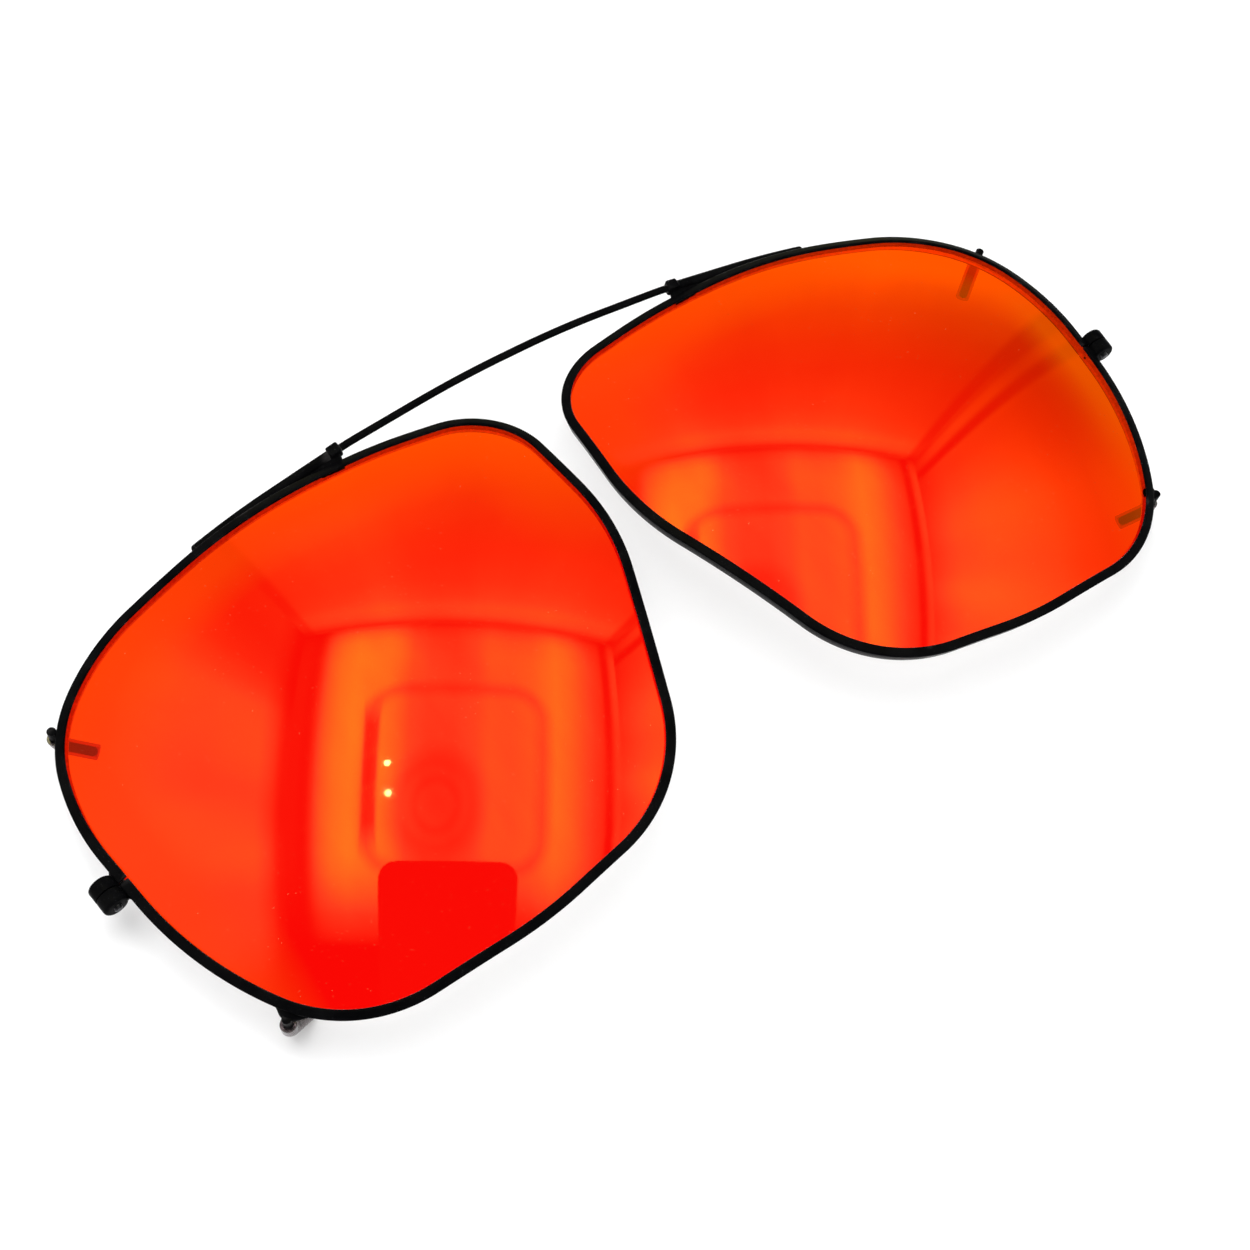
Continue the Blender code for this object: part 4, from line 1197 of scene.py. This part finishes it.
def glow(name, brightness, strength=1.0):
    """White cloth of the light tent; brightness builds its level at each place."""
    shader = Shader(name)
    level = brightness(shader)
    weave = shader.mapping(rotation=(0.0, 0.0, 0.577), scale=(5.0, 0.9, 0.9))
    cloth = shader.remap(shader.noise(scale=1.0, coord=weave), to=(0.87, 1.13))
    level = shader.times(level, cloth)
    colour = shader.node("CombineColor",
                         {0: level, 1: level, 2: shader.calc("MINIMUM", level, 1.0)})
    return shader.finish(shader.node("Emission", {"Color": colour, "Strength": strength}))


def even(value):
    """The same level at every height."""
    def brightness(shader):
        return shader.plus(shader.times(place_along(shader, UP), 0.0), value)
    return brightness


# In the tables below each entry is (position, brightness).
FAR_LOW = [(0.0, 2.1), (0.10, 1.9), (0.20, 1.35), (0.30, 0.78), (0.40, 0.34), (0.50, 0.12),
           (0.62, 0.0), (1.3, 0.0)]
FAR_UP = [(0.0, 0.28), (0.45, 0.28), (0.55, 0.31), (0.65, 0.40), (0.75, 0.54), (0.83, 0.78),
          (0.89, 1.18), (0.935, 1.05), (0.965, 0.62), (0.985, 0.22), (1.0, 0.30)]
FAR_ACROSS = [
    (-0.50, 0.20), (-0.462, 0.25), (-0.448, 0.60), (-0.40, 0.78), (-0.30, 0.95),
    (-0.22, 1.18), (-0.12, 0.95), (0.0, 0.86), (0.10, 1.05), (0.20, 1.25), (0.30, 0.98),
    (0.38, 0.90), (0.435, 0.72), (0.450, 0.20), (0.48, 0.20)]


def far_cloth(shader):
    """A glow near the floor, lower to the right, and a bright band near the top."""
    across, up = place_along(shader, ACROSS), place_along(shader, UP)
    low = curve(shader, shader.plus(up, shader.times(across, 0.5)), FAR_LOW)
    high = curve(shader, up, FAR_UP)
    return shader.times(shader.plus(low, high), curve(shader, across, FAR_ACROSS))


TOP_ACROSS = [
    (-0.50, 0.10), (-0.462, 0.10), (-0.440, 0.06), (-0.425, 0.10), (-0.410, 0.40),
    (-0.38, 1.90), (-0.345, 3.1), (-0.30, 3.9), (-0.268, 3.5), (-0.207, 3.1), (-0.18, 2.5),
    (-0.14, 1.3), (-0.09, 0.90), (-0.02, 0.80), (0.04, 1.1), (0.08, 1.65), (0.14, 1.55),
    (0.20, 1.9), (0.27, 3.1), (0.31, 2.4), (0.35, 1.4), (0.385, 0.75), (0.412, 0.45),
    (0.425, 0.05), (0.440, 0.05), (0.456, 0.75), (0.48, 0.85)]
TOP_DEEP = [(-1.0, 0.0), (-0.36, 0.0), (-0.27, 0.22), (-0.15, 0.85), (-0.10, 1.0),
            (0.50, 1.0), (0.56, 0.85), (0.60, 0.50), (0.618, 0.20), (0.63, 0.20)]
# by distance from the disc's centre over its radius
TOP_DISC = [(0.0, 0.55), (0.30, 0.62), (0.42, 0.42), (0.58, 0.60), (0.72, 0.48),
            (0.85, 0.60), (1.02, 0.85), (1.15, 1.0), (9.0, 1.0)]
# by distance from the outline, and from the middle of the rail
TOP_RING = [(0.0, 0.50), (0.008, 0.55), (0.020, 1.0), (9.0, 1.0)]
TOP_RAIL = [(0.0, 0.12), (0.15, 0.18), (0.23, 1.0), (9.0, 1.0)]
# centres and sizes are (across, deep)
DISC_CENTRE, DISC_RADII = (-0.06, 0.03), (0.135, 0.165)
RING_CENTRE, RING_HALF, RING_ROUND = (-0.010, 0.115), (0.150, 0.175), 0.088
RAIL_CENTRE, RAIL_SLIMNESS = (-0.243, 0.125), 9.0


def hypotenuse(shader, a, b):
    squares = shader.plus(shader.times(a, a), shader.times(b, b))
    return shader.calc("SQRT", squares)


def top_cloth(shader):
    """Bright bands, a dim mottled disc, a dark rounded outline, and the dark rail
    beside the lamps."""
    places = place_along(shader, ACROSS), place_along(shader, DEEP)

    def from_centre(centre):
        return [shader.plus(place, -middle) for place, middle in zip(places, centre)]

    def distances(centre):
        return [shader.calc("ABSOLUTE", offset) for offset in from_centre(centre)]

    shares = [shader.times(offset, 1 / radius)
              for offset, radius in zip(from_centre(DISC_CENTRE), DISC_RADII)]
    disc = curve(shader, hypotenuse(shader, *shares), TOP_DISC)

    beyond = [shader.plus(distance, -half)
              for distance, half in zip(distances(RING_CENTRE), RING_HALF)]
    outside = hypotenuse(shader, *[shader.calc("MAXIMUM", excess, 0.0) for excess in beyond])
    inside = shader.calc("MINIMUM", shader.calc("MAXIMUM", *beyond), 0.0)
    gap = shader.plus(shader.plus(outside, inside), -RING_ROUND)
    ring = curve(shader, shader.calc("ABSOLUTE", gap), TOP_RING)

    rail_across, rail_deep = distances(RAIL_CENTRE)
    rail = shader.calc("MAXIMUM", shader.times(rail_across, RAIL_SLIMNESS), rail_deep)
    marks = shader.times(ring, curve(shader, rail, TOP_RAIL))
    bands_of_light = shader.times(curve(shader, places[0], TOP_ACROSS),
                                  curve(shader, places[1], TOP_DEEP))
    return shader.times(shader.times(bands_of_light, disc), marks)


def folds(shader, deep, up, rate, lean, depth):
    """Hanging folds of the cloth, leaning a little, as a factor about 1."""
    phase = shader.plus(shader.times(deep, rate * TAU), shader.times(up, lean * TAU))
    sway = shader.calc("SINE", shader.times(phase, 0.37))
    wave = shader.calc("SINE", shader.plus(phase, sway))
    return shader.plus(shader.times(wave, depth), 1.0)


def folded(shader, deep_stops, up_stops, **fold):
    """Brightness by depth and by height, folded; returned with the height."""
    deep, up = place_along(shader, DEEP), place_along(shader, UP)
    level = shader.times(curve(shader, deep, deep_stops), curve(shader, up, up_stops))
    return shader.times(level, folds(shader, deep, up, **fold)), up


LEFT_DEEP = [(-1.0, 0.05), (-0.47, 0.12), (-0.38, 0.30), (-0.30, 0.65), (-0.20, 1.15),
             (-0.08, 1.25), (0.02, 1.30), (0.12, 1.22), (0.22, 1.0), (0.30, 0.88),
             (0.35, 0.55), (0.41, 0.32), (0.63, 0.20)]
LEFT_UP = [(0.0, 0.5), (0.30, 0.65), (0.50, 1.0), (0.82, 1.08), (0.87, 0.78), (0.91, 0.50),
           (0.94, 0.22), (0.97, 0.10), (1.0, 0.10)]
LEFT_LOW = [(0.0, 0.7), (0.35, 0.55), (0.50, 0.10), (0.60, 0.0), (1.0, 0.0)]
RIGHT_DEEP = [(-1.0, 0.4), (-0.30, 1.2), (-0.10, 1.50), (0.05, 1.62), (0.20, 1.50),
              (0.30, 1.20), (0.40, 0.85), (0.50, 0.62), (0.53, 0.58), (0.543, 0.06),
              (0.562, 0.06), (0.58, 0.52), (0.60, 0.46), (0.612, 0.20), (0.63, 0.20)]
RIGHT_UP = [(0.0, 0.9), (0.10, 0.8), (0.20, 0.55), (0.28, 0.40), (0.35, 0.50), (0.42, 0.72),
            (0.55, 0.95), (0.65, 1.05), (0.80, 0.97), (0.87, 0.75), (0.92, 0.58),
            (0.97, 0.42), (1.0, 0.30)]


def left_cloth(shader):
    level, up = folded(shader, LEFT_DEEP, LEFT_UP, rate=3.1, lean=0.5, depth=0.20)
    return shader.plus(level, curve(shader, up, LEFT_LOW))


def right_cloth(shader):
    return folded(shader, RIGHT_DEEP, RIGHT_UP, rate=4.3, lean=-0.4, depth=0.14)[0]


def panel(name, corners, material):
    """One flat face of the tent, seen only in reflections."""
    data = bpy.data.meshes.new(name)
    data.from_pydata(corners, [], [tuple(range(len(corners)))])
    data.materials.append(material)
    made = bpy.data.objects.new(name, data)
    bpy.context.scene.collection.objects.link(made)
    made.visible_camera = False
    made.visible_diffuse = False
    made.visible_transmission = False
    made.visible_volume_scatter = False
    made.visible_shadow = False


def rounded_rectangle(left, right, near, far, radius, up, steps=6):
    points = []
    for across, deep, first in ((right - radius, far - radius, 0),
                                (left + radius, far - radius, 90),
                                (left + radius, near + radius, 180),
                                (right - radius, near + radius, 270)):
        for k in range(steps + 1):
            angle = math.radians(first + 90 * k / steps)
            points.append(tent_point(across + radius * math.cos(angle),
                                     deep + radius * math.sin(angle), up))
    return points


FAR_LEFT, FAR_RIGHT = (TENT_LEFT, TENT_FAR), (TENT_RIGHT, TENT_FAR)
NEAR_LEFT, NEAR_RIGHT = (TENT_LEFT, TENT_NEAR), (TENT_RIGHT, TENT_NEAR)
for name, start, end, cloth, brightness in (
        ("tent_wall_a", FAR_LEFT, FAR_RIGHT, "tent_far", far_cloth),
        ("tent_wall_b", FAR_LEFT, NEAR_LEFT, "tent_left", left_cloth),
        ("tent_wall_c", FAR_RIGHT, NEAR_RIGHT, "tent_right", right_cloth),
        ("tent_wall_d", NEAR_LEFT, NEAR_RIGHT, "tent_near", even(0.25))):
    corners = ((start, 0), (end, 0), (end, 1), (start, 1))
    panel(name, [tent_point(*corner, up) for corner, up in corners], glow(cloth, brightness))
panel("tent_ceiling",
      [tent_point(*corner, 1) for corner in (FAR_LEFT, FAR_RIGHT, NEAR_RIGHT, NEAR_LEFT)],
      glow("tent_top", top_cloth))
panel("tent_flag",
      rounded_rectangle(left=-0.212, right=0.168, near=-0.70, far=-0.122, radius=0.05,
                        up=0.996),
      glow("tent_dark", even(0.02)))
LAMP_HALF = 0.0085
LAMP_GLOW = glow("tent_lamp", even(1.0), strength=60.0)
for across, deep in ((-0.193, 0.148), (-0.187, 0.063)):
    panel("tent_lamp_%d" % (deep * 1000),
          rounded_rectangle(across - LAMP_HALF, across + LAMP_HALF, deep - LAMP_HALF,
                            deep + LAMP_HALF, radius=0.0084, up=0.992),
          LAMP_GLOW)


# ------------------------------------------------------------------ floor
def paper(name):
    """White paper; through a lens it is seen evenly lit, so no shadow shows there."""
    shader = Shader(name)
    blotches = shader.noise(scale=14.0, detail=4.0)
    sheet = shader.node("BsdfDiffuse", {
        "Color": shader.two_tone(blotches, low=(0.955, 0.955, 0.957), high=(0.97, 0.97, 0.97)),
        "Normal": shader.bump(shader.noise(scale=900.0), strength=0.05, distance=0.00005)})
    glare = shader.node("Emission", {"Color": (1, 1, 1)})
    path = shader.node("LightPath")
    through = shader.times(path.outputs["Is Camera Ray"],
                           shader.calc("GREATER_THAN", path.outputs["Transparent Depth"], 0.5))
    return shader.finish(shader.mix_shaders(through, sheet, glare))


def build_floor(half=2.0, cells=24, z=-0.00002):
    material = paper("paper_floor")
    data = bpy.data.meshes.new("floor")
    line = [float(value) for value in np.linspace(-half, half, cells + 1)]
    row = cells + 1
    faces = [(j * row + i, j * row + i + 1, (j + 1) * row + i + 1, (j + 1) * row + i)
             for j in range(cells) for i in range(cells)]
    data.from_pydata([(x, y, z) for y in line for x in line], [], faces)
    data.materials.append(material)
    floor = bpy.data.objects.new("floor", data)
    bpy.context.scene.collection.objects.link(floor)


# ------------------------------------------------------------------ light and camera
def build_world():
    """Soft white light; plain white wherever the camera looks past the floor."""
    world = bpy.data.worlds.new("soft_white")
    bpy.context.scene.world = world
    world.use_nodes = True
    tree = world.node_tree
    soft = tree.nodes["Background"]
    soft.inputs["Color"].default_value = (1.0, 1.0, 1.0, 1)
    soft.inputs["Strength"].default_value = 0.83
    white = add_node(tree, "Background", {"Color": (1.0, 1.0, 1.0), "Strength": 1.0})
    camera_ray = add_node(tree, "LightPath").outputs["Is Camera Ray"]
    blend = add_node(tree, "MixShader", {0: camera_ray, 1: soft, 2: white})
    tree.links.new(blend.outputs[0], tree.nodes["World Output"].inputs["Surface"])


def build_key_light():
    """A disc above the origin, metres and watts."""
    place = Vector((-0.04, 0.13, 0.63))
    light = bpy.data.lights.new("key", "AREA")
    light.shape = "DISK"
    light.size = 0.50
    light.energy = 2.5
    key = bpy.data.objects.new("key", light)
    key.location = place
    key.rotation_euler = (-place).to_track_quat("-Z", "Y").to_euler()
    key.visible_glossy = False
    bpy.context.scene.collection.objects.link(key)


def build_camera():
    right = Vector((0.82587767, -0.55713842, 0.08673437))
    down = Vector((-0.46298806, -0.75787026, -0.4596463))
    forward = Vector((0.32182001, 0.33945464, -0.88385657))
    place = Vector((-59.167, -61.017, 154.167)) * MM
    data = bpy.data.cameras.new("camera")
    data.sensor_width = 36.0
    data.lens = 49.0016736
    data.clip_start = 0.005
    data.clip_end = 20.0
    camera = bpy.data.objects.new("camera", data)
    turn = Matrix((right, -down, -forward)).transposed().to_4x4()
    camera.matrix_world = Matrix.Translation(place) @ turn
    bpy.context.scene.collection.objects.link(camera)
    bpy.context.scene.camera = camera


build_floor()
build_world()
build_key_light()
view = bpy.context.scene.view_settings
view.view_transform = "Standard"
view.look = "None"
view.exposure = 0.0
view.gamma = 1.0
build_camera()
